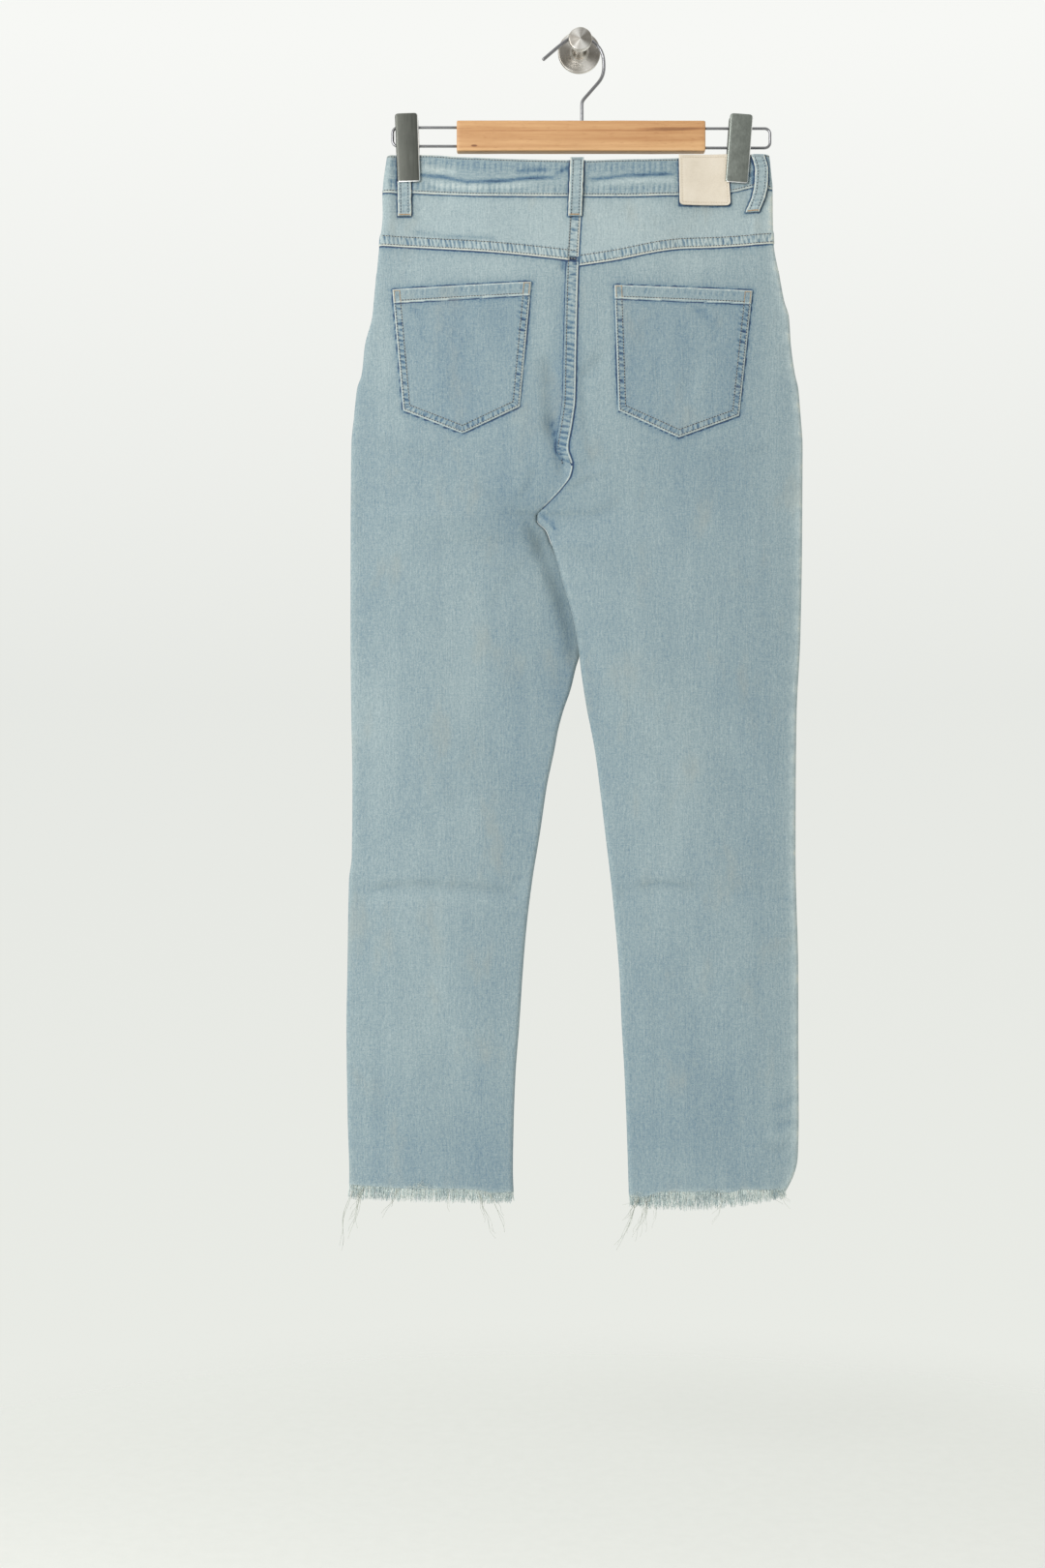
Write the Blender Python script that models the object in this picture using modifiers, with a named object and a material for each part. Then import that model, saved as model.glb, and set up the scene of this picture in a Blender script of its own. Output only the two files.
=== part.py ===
"""Straight leg jeans hung by the waistband from a wooden clip hanger on a wall knob.

The frame: +X runs across the back of the jeans from the wearer's left to the wearer's right, +Y runs
into the wall, +Z is up. The back of the jeans faces -Y. The origin is the centre of the wall plate's
back face, which lies on the wall at y = 0.

Sizes are millimetres, turned into metres where a mesh is made. "down" is the distance below the origin.
"""

import math
from bisect import bisect_right

import bmesh
import bpy
from mathutils import Vector

OBJECT_NAME = "straight_leg_jeans"
MM = 0.001

# ---------------------------------------------------------------- cloth thicknesses and gaps

DENIM = 1.4            # one layer of leg, yoke or pocket denim
BAND = 3.0             # waistband, folded over its own seam allowances
FACING = 0.8           # pocket facings
SHIELD = 1.0           # fly shield
LEATHER = 1.2          # waist patch
LOOP_CLOTH = 1.3       # belt loops, folded in three and pressed
GAP = 0.3              # between neighbouring pieces
LAID_GAP = 0.5         # under a piece that lies on a panel
YOKE_CLEARANCE = 1.2   # under a belt loop or the patch, more, where it crosses a yoke's raised seams
BAND_RISE = 0.8        # the waistband stands this much proud of the panels
FELL_RISE = 0.7        # a felled seam's extra layers
FELL_WIDTH = 10.8      # of a felled seam's raised strip
FELL_SLOPE = 1.2       # width over which it drops to the panel

# ---------------------------------------------------------------- how the flattened tubes round off

FOLD_RADIUS = {"cloth": 3.5, "band": 4.6}   # round the side seams and inseams
CROTCH = 439.2                              # down, where all four leg panels meet
CROTCH_X = -40.4
SEAT_ROUNDING = 45.0                        # the seat curls under over this height above the crotch
SEAM_HALF = GAP / 2

CLIP_WIDTH = 21.4
CLIP_GRIP = 131.0                           # down, where the jaws end
GRIP_LEAST = {"back": DENIM + 0.2, "front": DENIM + GAP + FACING + 0.3}    # half depth under the jaws
BAND_LEAST = BAND + 0.2                     # and of the waistband there
GRIP_MARGIN = 2.0                           # flat cloth beside a clip
GRIP_SPREAD_IN = 60.0                       # from there the cloth opens out over this width, inwards
GRIP_SPREAD_OUT = 8.0                       # towards the side fold
GRIP_FADE = 95.0                            # and below the jaws

FRONT_CENTRE = -3.0                         # x of the centre front
UNDERLAP = 32.0                             # the waistband's hidden end runs on this far behind the other
LAP_RAMP = (2.0, 22.0)                      # and comes level between these distances from the centre
SCOOP_WIDTH = 85.0                          # front pocket mouth, along the waistband
SCOOP_HEIGHT = 72.0                         # and down the side seam
FACING_MARGIN = 16.0
FACING_DROP = 1.5                           # below the waistband seam
FACING_LEVELS = (0.0, 0.2, 0.4, 0.6, 0.8, 0.9)    # rows, as shares of the mouth's height
FLY_LENGTH = 165.0
FLY_TOP = 147.5
FLY_REACH = (-28.0, 12.0)                   # the shield's edges, from the centre front


def table(columns, *rows):
    """Columns of numbers, by name."""
    return {name: [row[at] for row in rows] for at, name in enumerate(columns.split())}


# Outline of the two side seams.
SIDE_SEAMS = table(
    "down left right",
    (104, -179.9, 176.7),
    (141, -184.2, 179.9),
    (159, -183.9, 180),
    (186, -186.8, 180.8),
    (213, -189.4, 185.4),
    (240, -191.9, 190.4),
    (254, -193.3, 194.7),
    (281, -200.2, 196.6),
    (308, -203.2, 200.4),
    (321, -207.4, 203.4),
    (348, -210.4, 205.7),
    (375, -212.9, 207.5),
    (456, -213.6, 207.2),
    (555, -213.7, 205.5),
    (623, -213.1, 202.2),
    (690, -212, 201.4),
    (758, -212.6, 201.2),
    (780, -215.2, 201.5),
    (870, -216.8, 203.8),
    (915, -217.6, 203.8),
    (1005, -216.4, 204.2),
    (1040, -215.2, 203.2),
    (1050, -215, 201.2),
    (1058, -215, 198.4),
    (1064, -215.2, 195.4),
    (1072, -215.4, 191),
)

# The seat seam from the waistband to the crotch, where the right panel rolls over the left one.
SEAT_SEAM = table(
    "down x",
    (141, 2),
    (205, -1.5),
    (287, -3.7),
    (333, -4.6),
    (357, -7.6),
    (379, -11),
    (394, -7),
    (405, -9.4),
    (414, -15.8),
    (425, -25.9),
    (434, -35),
    (CROTCH, CROTCH_X),
)

# The two inseams below the crotch. The right leg hangs in front of the left one until they part.
INSEAMS = table(
    "down left right",
    (CROTCH, CROTCH_X - SEAM_HALF, CROTCH_X + SEAM_HALF),
    (445, -40.2, -39.5),
    (453.5, -32, -31.4),
    (465, -27.2, -26.8),
    (482, -18.5, -21.3),
    (499, -12.5, -16.7),
    (537, -1.5, -5.8),
    (557, 0.5, -2.2),
    (570, -0.5, -0.4),
    (580, -3.5, 0.7),
    (601, -8.6, 3.6),
    (622, -15.8, 7.1),
    (640, -20.6, 10.8),
    (660, -24.3, 14.5),
    (690, -30.7, 18.5),
    (735, -37.4, 23.9),
    (780, -44.7, 29.3),
    (825, -50.2, 33.8),
    (870, -53.9, 37.4),
    (915, -56.8, 39.4),
    (960, -60.3, 42),
    (1005, -62, 43.9),
    (1050, -62.8, 45.4),
    (1073, -62, 46.1),
)

# Half the garment's depth on each side of its middle plane, the plane itself, and how far that plane
# moves towards the viewer on the right leg and towards the wall on the left one.
DEPTHS = table(
    "down back front plane lap",
    (104, 11, 11, -25, 0),
    (141, 11, 11, -25, 0),
    (190, 12, 11, -25, 0),
    (250, 14.5, 12, -25, 0),
    (310, 16.5, 12, -25, 0),
    (360, 16, 12, -25, 0),
    (400, 14.5, 12, -24.5, 0),
    (CROTCH, 12.5, 11.5, -24, 0),
    (455, 12, 11, -24, 3),
    (470, 11.5, 11, -24, 6),
    (590, 10.5, 10, -23.5, 6),
    (660, 10, 10, -23, 2.5),
    (780, 9, 9, -23, 1),
    (950, 8.5, 8.5, -22.5, 0.5),
    (1074, 8, 8, -22.5, 0),
)

# Waistband edges, and the seam where the yokes meet the panels, along x.
BAND_TOP = table("x down", (-180, 104.4), (-143.5, 104), (-107.5, 107.3), (-71.5, 109.4), (-35.5, 110.6),
                 (6, 111.2), (36.5, 110.3), (72.5, 109.5), (92, 108.4), (137, 105), (162, 103.8), (176, 103.9))
BAND_SEAM = table("x down", (-184, 139.7), (-155, 139.7), (-134.5, 140.7), (-112, 142.4), (-89, 144), (2, 144.9),
                  (36, 144.9), (92, 142.9), (141, 138.6), (161, 134.6), (180, 137))
YOKE_SEAM = {
    "left": table("x down", (-186, 189), (-128, 193), (-73, 197.5), (-12, 204.2), (-1, 205.5)),
    "right": table("x down", (-1, 209.7), (33, 204.3), (74, 195.9), (95, 193.1), (129, 191.2), (180, 187)),
}

# The cut edge of each leg, and how far its fraying hangs.
HEMS = {
    "left": table("x cloth fray", (-217, 1063.3, 1077), (-190, 1064.6, 1077.8), (-168, 1066.2, 1078.6),
                  (-130, 1066.4, 1079.2), (-98, 1067.4, 1080.2), (-80, 1070.6, 1080.8), (-62, 1070.8, 1080.4)),
    "right": table("x cloth fray", (46, 1073.4, 1083.6), (60, 1074.4, 1085.4), (76, 1069.6, 1086.4),
                   (110, 1069.2, 1086.6), (138, 1070, 1084), (152, 1067.4, 1082.6), (180, 1068.2, 1078.6),
                   (192, 1069.6, 1075.6)),
}

# Largest folds: a soft ridge (height above 0) or trough (below 0) between two places.
FOLDS = {
    "back": table(
        "x0 down0 x1 down1 width height",
        (-30, 306, -26, 357, 9, -2.2),
        (-26, 357, -14, 398, 6, -3.6),
        (3, 313, 22, 293, 9, -1.2),
        (-5, 396, 12, 396, 6, -1.8),
        (-214, 793, -60, 788, 10, -1.3),
        (33, 792, 200, 791, 10, -1.3),
        (-190, 450, -120, 480, 26, -1.6),
        (80, 470, 185, 440, 30, -1.5),
        (-120, 560, -60, 700, 22, -1.4),
        (90, 560, 150, 690, 24, -1.5),
        (-150, 860, -110, 1010, 24, -1.2),
        (110, 880, 140, 1020, 24, -1.3),
    ),
    "front": table(
        "x0 down0 x1 down1 width height",
        (-60, 380, -160, 350, 14, -1.8),
        (40, 380, 150, 345, 14, -1.8),
        (-214, 786, -60, 792, 10, -1.3),
        (33, 790, 200, 787, 10, -1.3),
        (-150, 520, -100, 680, 26, -1.5),
        (100, 540, 140, 700, 24, -1.5),
        (-130, 880, -150, 1010, 24, -1.2),
        (120, 860, 100, 1010, 24, -1.3),
    ),
}

BACK_POCKETS = {
    "left": {"top": ((-174.6, 230.2), (-45.1, 224.5)),
             "low": ((-164.4, 343.2), (-108.9, 365.3), (-55.9, 340.7))},
    "right": {"top": ((31.5, 227.7), (160.3, 231.5)),
              "low": ((35.3, 344.4), (91.4, 369.1), (147.7, 348.3))},
}
POCKET_HEM = 13.0
POCKET_HEM_RISE = 0.7
POCKET_HEM_STEP = 0.01    # share of the pocket's height over which the hem's edge drops

LOOP_WIDTH = 12.6
# Each belt loop's middle line, from its top to its bottom, and how far it stands off at half height.
BELT_LOOPS = {
    "belt_loop_back_left": ("back", 0.5, table("down x", (109, -163.4), (161.4, -163.2))),
    "belt_loop_back_centre": ("back", 2.4, table("down x", (109.4, -2.8), (163.5, -4.9))),
    "belt_loop_back_right": ("back", 2.0,
                             table("down x", (105, 165.2), (119, 168.8), (137, 167.6), (158, 160.6))),
    "belt_loop_front_left": ("front", 2.4, table("down x", (109, -106), (163, -106))),
    "belt_loop_front_right": ("front", 2.4, table("down x", (109, 100), (162, 100))),
}

PATCH_CORNERS = ((91.9, 105.6), (137.5, 103.8), (140.4, 151.4), (92.6, 152.2))

BUTTON_RADIUS = 8.5
BUTTON_HEIGHT = 3.0
BUTTON_INSET = 15.0
BUTTON_ROUNDING = 0.8

# ---------------------------------------------------------------- hanger and wall knob

HANGER_Y = -25.0
BAR_LEFT, BAR_RIGHT = -114.7, 116.7
BAR_TOP, BAR_BOTTOM = 72.8, 101.1
BAR_DEPTH = 12.0
BAR_ROUNDING = 1.2
WIRE_RADIUS = 1.6
CLIP_WIRE_DOWN = {"left": (77.9, 95.3), "right": (78.8, 96.9)}
CLIP_WIRE_END = {"left": -174.6, "right": 177.4}
CLIP_WIRE_CORNER = 5.0

CLIPS = {"left": {"top": (-161.5, 67.0), "bottom": (-159.3, 130.2)},
         "right": {"top": (150.4, 67.6), "bottom": (145.6, 131.0)}}
CLIP_PLATE = 1.0
CLIP_FLANGE = 3.2
# Along a clip's plate: share of its length, half the clip's depth, and how much of the flange is left.
CLIP_STATIONS = ((0.0, 8.6, 1.0), (0.5, 8.6, 1.0), (0.62, 8.2, 1.0), (0.7, 7.0, 0.1), (1.0, 7.0, 0.1))
SPRING_RADIUS = 3.4
SPRING_LENGTH = 13.0
SPRING_ROUNDING = 0.6

PLATE_RADIUS, PLATE_DEPTH = 20.0, 3.2
KNOB_DEPTH = 42.0
STEM_RADIUS = 5.4
STEM_FOOT = 5.0            # height and spread of the foot it flares into
CAP_RADIUS = 11.0
CAP_DEPTH = 7.0
CAP_ROUNDING = 1.6
PLATE_ROUNDING = 1.2
TURNED_SIDES = 24

# The hook's middle line, from the bar's top up over the stem to its free end: x, down.
HOOK_ROUTE = ((1.9, 72.5), (1.9, 63.0), (3.3, 52.9), (9.6, 44.6), (16.7, 36.4), (21.2, 28.8), (22.4, 21.2),
              (21.7, 12.0), (18.9, 4.8), (14.8, 0.2), (8.9, -4.2), (2.0, -6.9), (-2.2, -7.3), (-8.0, -6.0),
              (-13.9, -2.2), (-21.5, 3.6), (-28.5, 9.6), (-34.1, 14.4))

# Threads that hang below the fraying: root x, tip x, tip down, sideways bow, and steps towards the viewer.
LONG_THREADS = {
    "left": table(
        "root tip down bow out",
        (-210, -222.5, 1125, -4, 0),
        (-205.5, -216, 1114, 3, 1),
        (-201, -209, 1103, -3, -1),
        (-171, -185, 1093, 3, 0),
        (-124, -122.5, 1088, 1, 0),
        (-92, -79, 1113, -3, 0),
        (-86, -71, 1108, 3, 1),
    ),
    "right": table(
        "root tip down bow out",
        (51, 33, 1124, 4, 0),
        (56, 45, 1109, -3, 1),
        (61, 54, 1111, 3, -1),
        (66, 61, 1107, -2, 0),
        (71, 68, 1104, 2, 1),
        (133, 124, 1100, 2, 0),
        (184, 195, 1086, 1, 0),
    ),
}
LONG_STRAIGHT = 9.0        # they hang straight past the short strands
LONG_STEPS = 4             # and then bend in this many steps
LONG_DRIFT = 2.2           # one step towards the viewer

STRIP_HEIGHT = 2.6         # of the ring of cloth that holds the strands
STRANDS = 32               # on each face of each leg
STRAND_ROOT = 1.5          # length of the ring that one strand grows from
STRAND_SHORTEST = 3.0
STRAND_LENGTHS = (0.6, 1.15)   # of the fraying's own depth
STRAND_SWAY = (1.6, 1.0)       # most that a tip strays along and across the cloth, to both sides together
STRAND_SIZES = (0.75, 0.28)    # thickness at its root and at its tip, as shares of the root's

SIGN = {"back": -1.0, "front": 1.0}
OTHER = {"back": "front", "front": "back", "left": "right", "right": "left"}


# ---------------------------------------------------------------- numbers

def read(source, key, column, at):
    """A column's value at a key, on a smooth curve through the table's rows that never overshoots."""
    keys, values = source[key], source[column]
    if at <= keys[0]:
        return values[0]
    if at >= keys[-1]:
        return values[-1]
    row = bisect_right(keys, at) - 1

    def secant(index):
        return (values[index + 1] - values[index]) / (keys[index + 1] - keys[index])

    def slope(index):
        if index in (0, len(keys) - 1):
            return secant(min(index, len(keys) - 2))
        before, after = secant(index - 1), secant(index)
        if before * after <= 0:
            return 0.0
        return 2 * before * after / (before + after)

    span = keys[row + 1] - keys[row]
    t = (at - keys[row]) / span
    rise = values[row + 1] - values[row]
    start, end = slope(row) * span, slope(row + 1) * span
    return values[row] + t * (start + t * (3 * rise - 2 * start - end + t * (start + end - 2 * rise)))


def ease(t):
    """0 up to t = 0, 1 from t = 1, with level ends between."""
    t = min(1.0, max(0.0, t))
    return t * t * (3 - 2 * t)


def mix(a, b, t):
    return a + (b - a) * t


def quarter_round(t):
    """Height of a quarter circle, 0 at t = 0 and 1 from t = 1."""
    t = min(1.0, max(0.0, t))
    return math.sqrt(1 - (1 - t) ** 2)


def wobble(number):
    """A fixed uneven value between 0 and 1 for each whole number."""
    return math.sin(number * 12.9898 + 4.1414) * 43758.5453 % 1.0


# ---------------------------------------------------------------- the garment's outer surface

def outer_edge(side, down):
    return read(SIDE_SEAMS, "down", side, down)


def inner_edge(side, down):
    if down < CROTCH:
        return read(SEAT_SEAM, "down", "x", down)
    return read(INSEAMS, "down", side, down)


def grip(x, down):
    """1 where a clip presses the cloth flat, 0 clear of it."""
    amount = 0.0
    for side, clip in CLIPS.items():
        away = x - clip["bottom"][0]
        outward = away < 0 if side == "left" else away > 0
        spread = GRIP_SPREAD_OUT if outward else GRIP_SPREAD_IN
        beyond = abs(away) - CLIP_WIDTH / 2 - (0 if outward else GRIP_MARGIN)
        amount = max(amount, 1 - ease(beyond / spread))
    return amount * (1 - ease((down - CLIP_GRIP) / GRIP_FADE))


def bulge(full, radius, from_start, width):
    """Depth across a flattened tube: round at its two edges, fullest at its middle."""
    near = min(from_start, width - from_start)
    across = min(1.0, max(0.0, from_start / width))
    return radius * quarter_round(near / radius) + (full - radius) * math.sin(math.pi * across) ** 0.8


def fold_height(face, x, down):
    """Sum of the folds at a place, each fading towards its own ends."""
    folds = FOLDS[face]
    total = 0.0
    for x0, down0, x1, down1, width, height in zip(*(folds[name] for name in folds)):
        run_x, run_down = x1 - x0, down1 - down0
        length = math.hypot(run_x, run_down)
        along = ((x - x0) * run_x + (down - down0) * run_down) / length
        away = ((x - x0) * run_down - (down - down0) * run_x) / length
        beyond = max(0.0, -along, along - length)
        total += height * math.exp(-(away / width) ** 2 - (beyond / (1.5 * width)) ** 2)
    return total


def depth(face, side, x, down):
    """How far the outer surface of the panels stands from the middle plane."""
    full = read(DEPTHS, "down", face, down)
    radius = FOLD_RADIUS["cloth"]
    left, right = outer_edge("left", down), outer_edge("right", down)
    whole = bulge(full, radius, x - left, right - left)
    curl = min(1.0, max(0.0, (down - CROTCH + SEAT_ROUNDING) / SEAT_ROUNDING))
    share = 1 - math.sqrt(1 - curl ** 2)
    if share > 0:
        start, end = outer_edge(side, down), inner_edge(side, down)
        leg = bulge(full, radius, abs(x - start), abs(end - start))
        whole = mix(whole, leg, share)
    from_edge = min(abs(x - outer_edge(side, down)), abs(x - inner_edge(side, down)) if share > 0 else math.inf)
    whole += fold_height(face, x, down) * ease(from_edge / 12)
    held = grip(x, down)
    if held > 0:
        near = min(x - left, right - x)
        least = GRIP_LEAST[face]
        whole = mix(whole, least * quarter_round(near / least), held)
    return whole


def surface(face, side, x, down):
    """A point of the outer surface of the panels."""
    start, end = outer_edge(side, down), inner_edge(side, down)
    lap = read(DEPTHS, "down", "lap", down) * ease((x - start) / (end - start))
    middle = read(DEPTHS, "down", "plane", down) + (lap if side == "left" else -lap)
    return Vector((x, middle + SIGN[face] * depth(face, side, x, down), -down))


def band_surface(face, x, down):
    """A point of the waistband's outer surface, which runs on below it over the yokes."""
    left, right = outer_edge("left", down), outer_edge("right", down)
    radius = FOLD_RADIUS["band"]
    full = read(DEPTHS, "down", face, down) + BAND_RISE
    out = bulge(full, radius, x - left, right - left)
    near = min(x - left, right - x)
    out = mix(out, BAND_LEAST * quarter_round(near / BAND_LEAST), grip(x, down))
    return Vector((x, read(DEPTHS, "down", "plane", down) + SIGN[face] * out, -down))


# ---------------------------------------------------------------- building

def material(name, colour, roughness, metallic=0.0):
    """One Principled material for each kind of stuff, made once."""
    made = bpy.data.materials.get(name)
    if made is None:
        made = bpy.data.materials.new(name)
        made.use_nodes = True
        shader = made.node_tree.nodes["Principled BSDF"]
        shader.inputs["Base Color"].default_value = (*colour, 1.0)
        shader.inputs["Roughness"].default_value = roughness
        shader.inputs["Metallic"].default_value = metallic
    return made


def denim():
    return material("denim", (0.31, 0.41, 0.45), 0.9)


def add(name, mesh, stuff, collection):
    """An object in the model's collection, with its own copy of a material."""
    own = stuff.copy()
    own.name = name
    mesh.materials.clear()
    mesh.materials.append(own)
    made = bpy.data.objects.new(name, mesh)
    collection.objects.link(made)
    return made


def closed_mesh(name, points, faces):
    """A mesh in metres with its faces turned outwards."""
    mesh = bpy.data.meshes.new(name)
    mesh.from_pydata([tuple(point * MM) for point in points], [], faces)
    work = bmesh.new()
    work.from_mesh(mesh)
    bmesh.ops.recalc_face_normals(work, faces=work.faces)
    if work.calc_volume(signed=True) < 0:
        bmesh.ops.reverse_faces(work, faces=work.faces)
    work.to_mesh(mesh)
    work.free()
    mesh.shade_smooth()
    mesh.set_sharp_from_angle(angle=math.radians(40))
    return mesh


def cloth(name, rows, columns, point, thickness, stuff, collection, outward, offset=0.0, rise=None):
    """A wall of cloth over a lattice of outer points.

    point(row, column) also answers one step past each edge, on the neighbouring piece, so that two
    pieces are cut along the same plane where they meet, GAP apart.
    """
    middle = (rows // 2, columns // 2)

    def frame(row, column):
        along = point(row, column + 1) - point(row, column - 1)
        down = point(row + 1, column) - point(row - 1, column)
        return along.normalized(), down.normalized(), along.cross(down).normalized()

    turn = 1 if frame(*middle)[2].dot(outward) > 0 else -1
    outer, inner = [], []
    for row in range(rows):
        for column in range(columns):
            along, down, normal = frame(row, column)
            here = point(row, column)
            here += along * SEAM_HALF * ((column == 0) - (column == columns - 1))
            here += down * SEAM_HALF * ((row == 0) - (row == rows - 1))
            extra = rise(row, column) if rise else 0.0
            outer.append(here + normal * turn * (offset + extra))
            inner.append(here + normal * turn * (offset - thickness))
    count = rows * columns
    faces = []
    for row in range(rows - 1):
        for column in range(columns - 1):
            a = row * columns + column
            quad = (a, a + 1, a + columns + 1, a + columns)
            faces.append(quad)
            faces.append(tuple(count + corner for corner in reversed(quad)))
    rim = [column for column in range(columns)]
    rim += [row * columns + columns - 1 for row in range(1, rows)]
    rim += [(rows - 1) * columns + column for column in range(columns - 2, -1, -1)]
    rim += [row * columns for row in range(rows - 2, 0, -1)]
    for a, b in zip(rim, rim[1:] + rim[:1]):
        faces.append((b, a, count + a, count + b))
    return add(name, closed_mesh(name, outer + inner, faces), stuff, collection)


def across(start, end, steps_start, steps_end, middle_count):
    """Columns from one x to another: given distances near each end, evenly spread between."""
    width = abs(end - start)
    low, high = steps_start[-1], width - steps_end[-1]
    distances = list(steps_start)
    distances += [mix(low, high, k / (middle_count + 1)) for k in range(1, middle_count + 1)]
    distances += [width - step for step in reversed(steps_end)]
    return [mix(start, end, distance / width) for distance in distances]


EDGE_STEPS = (0.0, 0.5, 1.75, 3.5, 12.0)
PANEL_COLUMNS = 4         # evenly spread between the edge steps
YOKE_COLUMNS = 8
FELL_STEPS = (0.0, 1.5, 3.5, FELL_WIDTH, FELL_WIDTH + FELL_SLOPE)
GHOST_DOWN = 5.0          # step past an upper or lower edge, for its direction


# ---------------------------------------------------------------- leg panels and yokes

def scoop_distance(down, top):
    """How far the front pocket's mouth lies from the side seam."""
    t = (down - top) / SCOOP_HEIGHT
    return SCOOP_WIDTH * math.sqrt(1 - t * t) if t < 1 else 0.0


def on_line(line, edge, which):
    """Where an edge crosses a line across the garment: edge(which, down) gives x, line(x) gives down."""
    x = 0.0
    for _ in range(5):
        x = edge(which, line(x))
    return x


class Panel:
    """A lattice over one side of one face, between an upper and a lower line."""

    def __init__(self, face, side, upper, lower, levels, start_steps, end_steps, count, scoop=False):
        self.face, self.side = face, side
        self.scoop = scoop
        self.rows = []
        for level in levels:
            def line(x):
                return mix(upper(x), lower(x), level)

            start = on_line(line, self.start_edge, upper)
            end = on_line(line, inner_edge, side)
            xs = across(start, end, start_steps, end_steps, count)
            self.rows.append([(x, line(x)) for x in xs])
        self.columns = len(self.rows[0])

    def start_edge(self, upper, down):
        edge = outer_edge(self.side, down)
        if not self.scoop:
            return edge
        inward = 1 if self.side == "left" else -1
        return edge + inward * scoop_distance(down, upper(edge))

    def point(self, row, column):
        """Outer point; one step past an edge it is the next piece's."""
        step = -GHOST_DOWN if row < 0 else GHOST_DOWN if row >= len(self.rows) else 0.0
        cells = self.rows[min(max(row, 0), len(self.rows) - 1)]
        if column < 0:
            x, down = cells[1]
            on_seam = abs(cells[0][0] - outer_edge(self.side, cells[0][1])) < 0.01
            if on_seam:
                return surface(OTHER[self.face], self.side, x, down + step)
            return surface(self.face, self.side, 2 * cells[0][0] - x, down + step)
        if column >= self.columns:
            x, down = cells[-2]
            end, end_down = cells[-1]
            if end_down >= CROTCH - 0.01:
                return surface(OTHER[self.face], self.side, x, down + step)
            return surface(self.face, OTHER[self.side], 2 * end - x, down + step)
        x, down = cells[column]
        return surface(self.face, self.side, x, down + step)

    def fell(self, row, column):
        """Extra height of the felled seam beside the seat seam."""
        x, down = self.rows[row][column]
        if down > CROTCH:
            return 0.0
        away = abs(x - self.rows[row][-1][0])
        return FELL_RISE * (1 - ease((away - FELL_WIDTH) / FELL_SLOPE))


def hem_line(side):
    return lambda x: read(HEMS[side], "x", "cloth", x) - SEAM_HALF


def levels_between(upper, lower, inner_downs, side):
    """Rows' shares of the way down, from the places where they cross the inner edge."""
    shares = []
    for down in inner_downs:
        x = inner_edge(side, down)
        shares.append((down - upper(x)) / (lower(x) - upper(x)))
    return [0.0] + shares + [1.0]


BACK_ROWS = (240, 275, 310, 340, 367, 385, 398, 411, 422, 431, CROTCH, 446, 456, 470, 490, 520, 560, 600,
             645, 695, 745, 780, 800, 850, 910, 970, 1030)
FRONT_ROWS = (156, 174, 192, 204, 212, 217, 219, 262, 300, 338, 367, 390, 407, 420, 431, CROTCH, 446, 456, 470,
              490, 520, 560, 600, 645, 695, 745, 780, 800, 850, 910, 970, 1030)


def back_panel(side, collection):
    seam = YOKE_SEAM[side]

    def upper(x):
        return read(seam, "x", "down", x) + SEAM_HALF

    lower = hem_line(side)
    levels = levels_between(upper, lower, BACK_ROWS, side)
    end_steps = FELL_STEPS if side == "left" else EDGE_STEPS
    grid = Panel("back", side, upper, lower, levels, EDGE_STEPS, end_steps, PANEL_COLUMNS)
    rise = grid.fell if side == "left" else None
    cloth(f"back_panel_{side}", len(grid.rows), grid.columns, grid.point, DENIM, denim(), collection,
          Vector((0, -1, 0)), rise=rise)


def front_panel(side, collection):
    def upper(x):
        return read(BAND_SEAM, "x", "down", x) + GAP

    lower = hem_line(side)
    levels = levels_between(upper, lower, FRONT_ROWS, side)
    grid = Panel("front", side, upper, lower, levels, EDGE_STEPS, EDGE_STEPS,
                 PANEL_COLUMNS, scoop=True)
    cloth(f"front_panel_{side}", len(grid.rows), grid.columns, grid.point, DENIM, denim(), collection,
          Vector((0, 1, 0)))


def yoke(side, collection):
    seam = YOKE_SEAM[side]

    def upper(x):
        return read(BAND_SEAM, "x", "down", x) + GAP

    def lower(x):
        return read(seam, "x", "down", x) - SEAM_HALF

    height = lower(0) - upper(0)
    fell_start = 1 - FELL_WIDTH / height
    levels = (0.0, 0.3, fell_start - FELL_SLOPE / height, fell_start, 1.0)
    end_steps = FELL_STEPS if side == "left" else EDGE_STEPS
    grid = Panel("back", side, upper, lower, levels, EDGE_STEPS, end_steps, YOKE_COLUMNS)

    def rise(row, column):
        along_seam = FELL_RISE if row >= 3 else 0.0
        beside = grid.fell(row, column) if side == "left" else 0.0
        return max(along_seam, beside)

    cloth(f"yoke_{side}", len(grid.rows), grid.columns, grid.point, DENIM, denim(), collection,
          Vector((0, -1, 0)), rise=rise)


def pocket_facing(side, collection):
    """The cloth behind a front pocket's mouth, from the side seam to just past the mouth's edge."""
    inward = 1 if side == "left" else -1
    cells = []
    for level in FACING_LEVELS:
        drop = level * SCOOP_HEIGHT

        def line(x):
            return read(BAND_SEAM, "x", "down", x) + FACING_DROP + drop

        start = on_line(line, outer_edge, side)
        width = scoop_distance(drop, 0) + FACING_MARGIN
        distances = EDGE_STEPS + (mix(EDGE_STEPS[-1], width, 0.5), width)
        cells.append([(start + inward * distance, line(start + inward * distance)) for distance in distances])

    def point(row, column):
        step = -GHOST_DOWN if row < 0 else GHOST_DOWN if row >= len(cells) else 0.0
        line = cells[min(max(row, 0), len(cells) - 1)]
        if column < 0:
            x, down = line[1]
            return surface("back", side, x, down + step)
        if column >= len(line):
            x, down = line[-1]
            return surface("front", side, x + inward * GHOST_DOWN, down + step)
        x, down = line[column]
        return surface("front", side, x, down + step)

    cloth(f"pocket_facing_{side}", len(cells), len(cells[0]), point, FACING, denim(), collection,
          Vector((0, 1, 0)), offset=-(DENIM + GAP))


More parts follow.
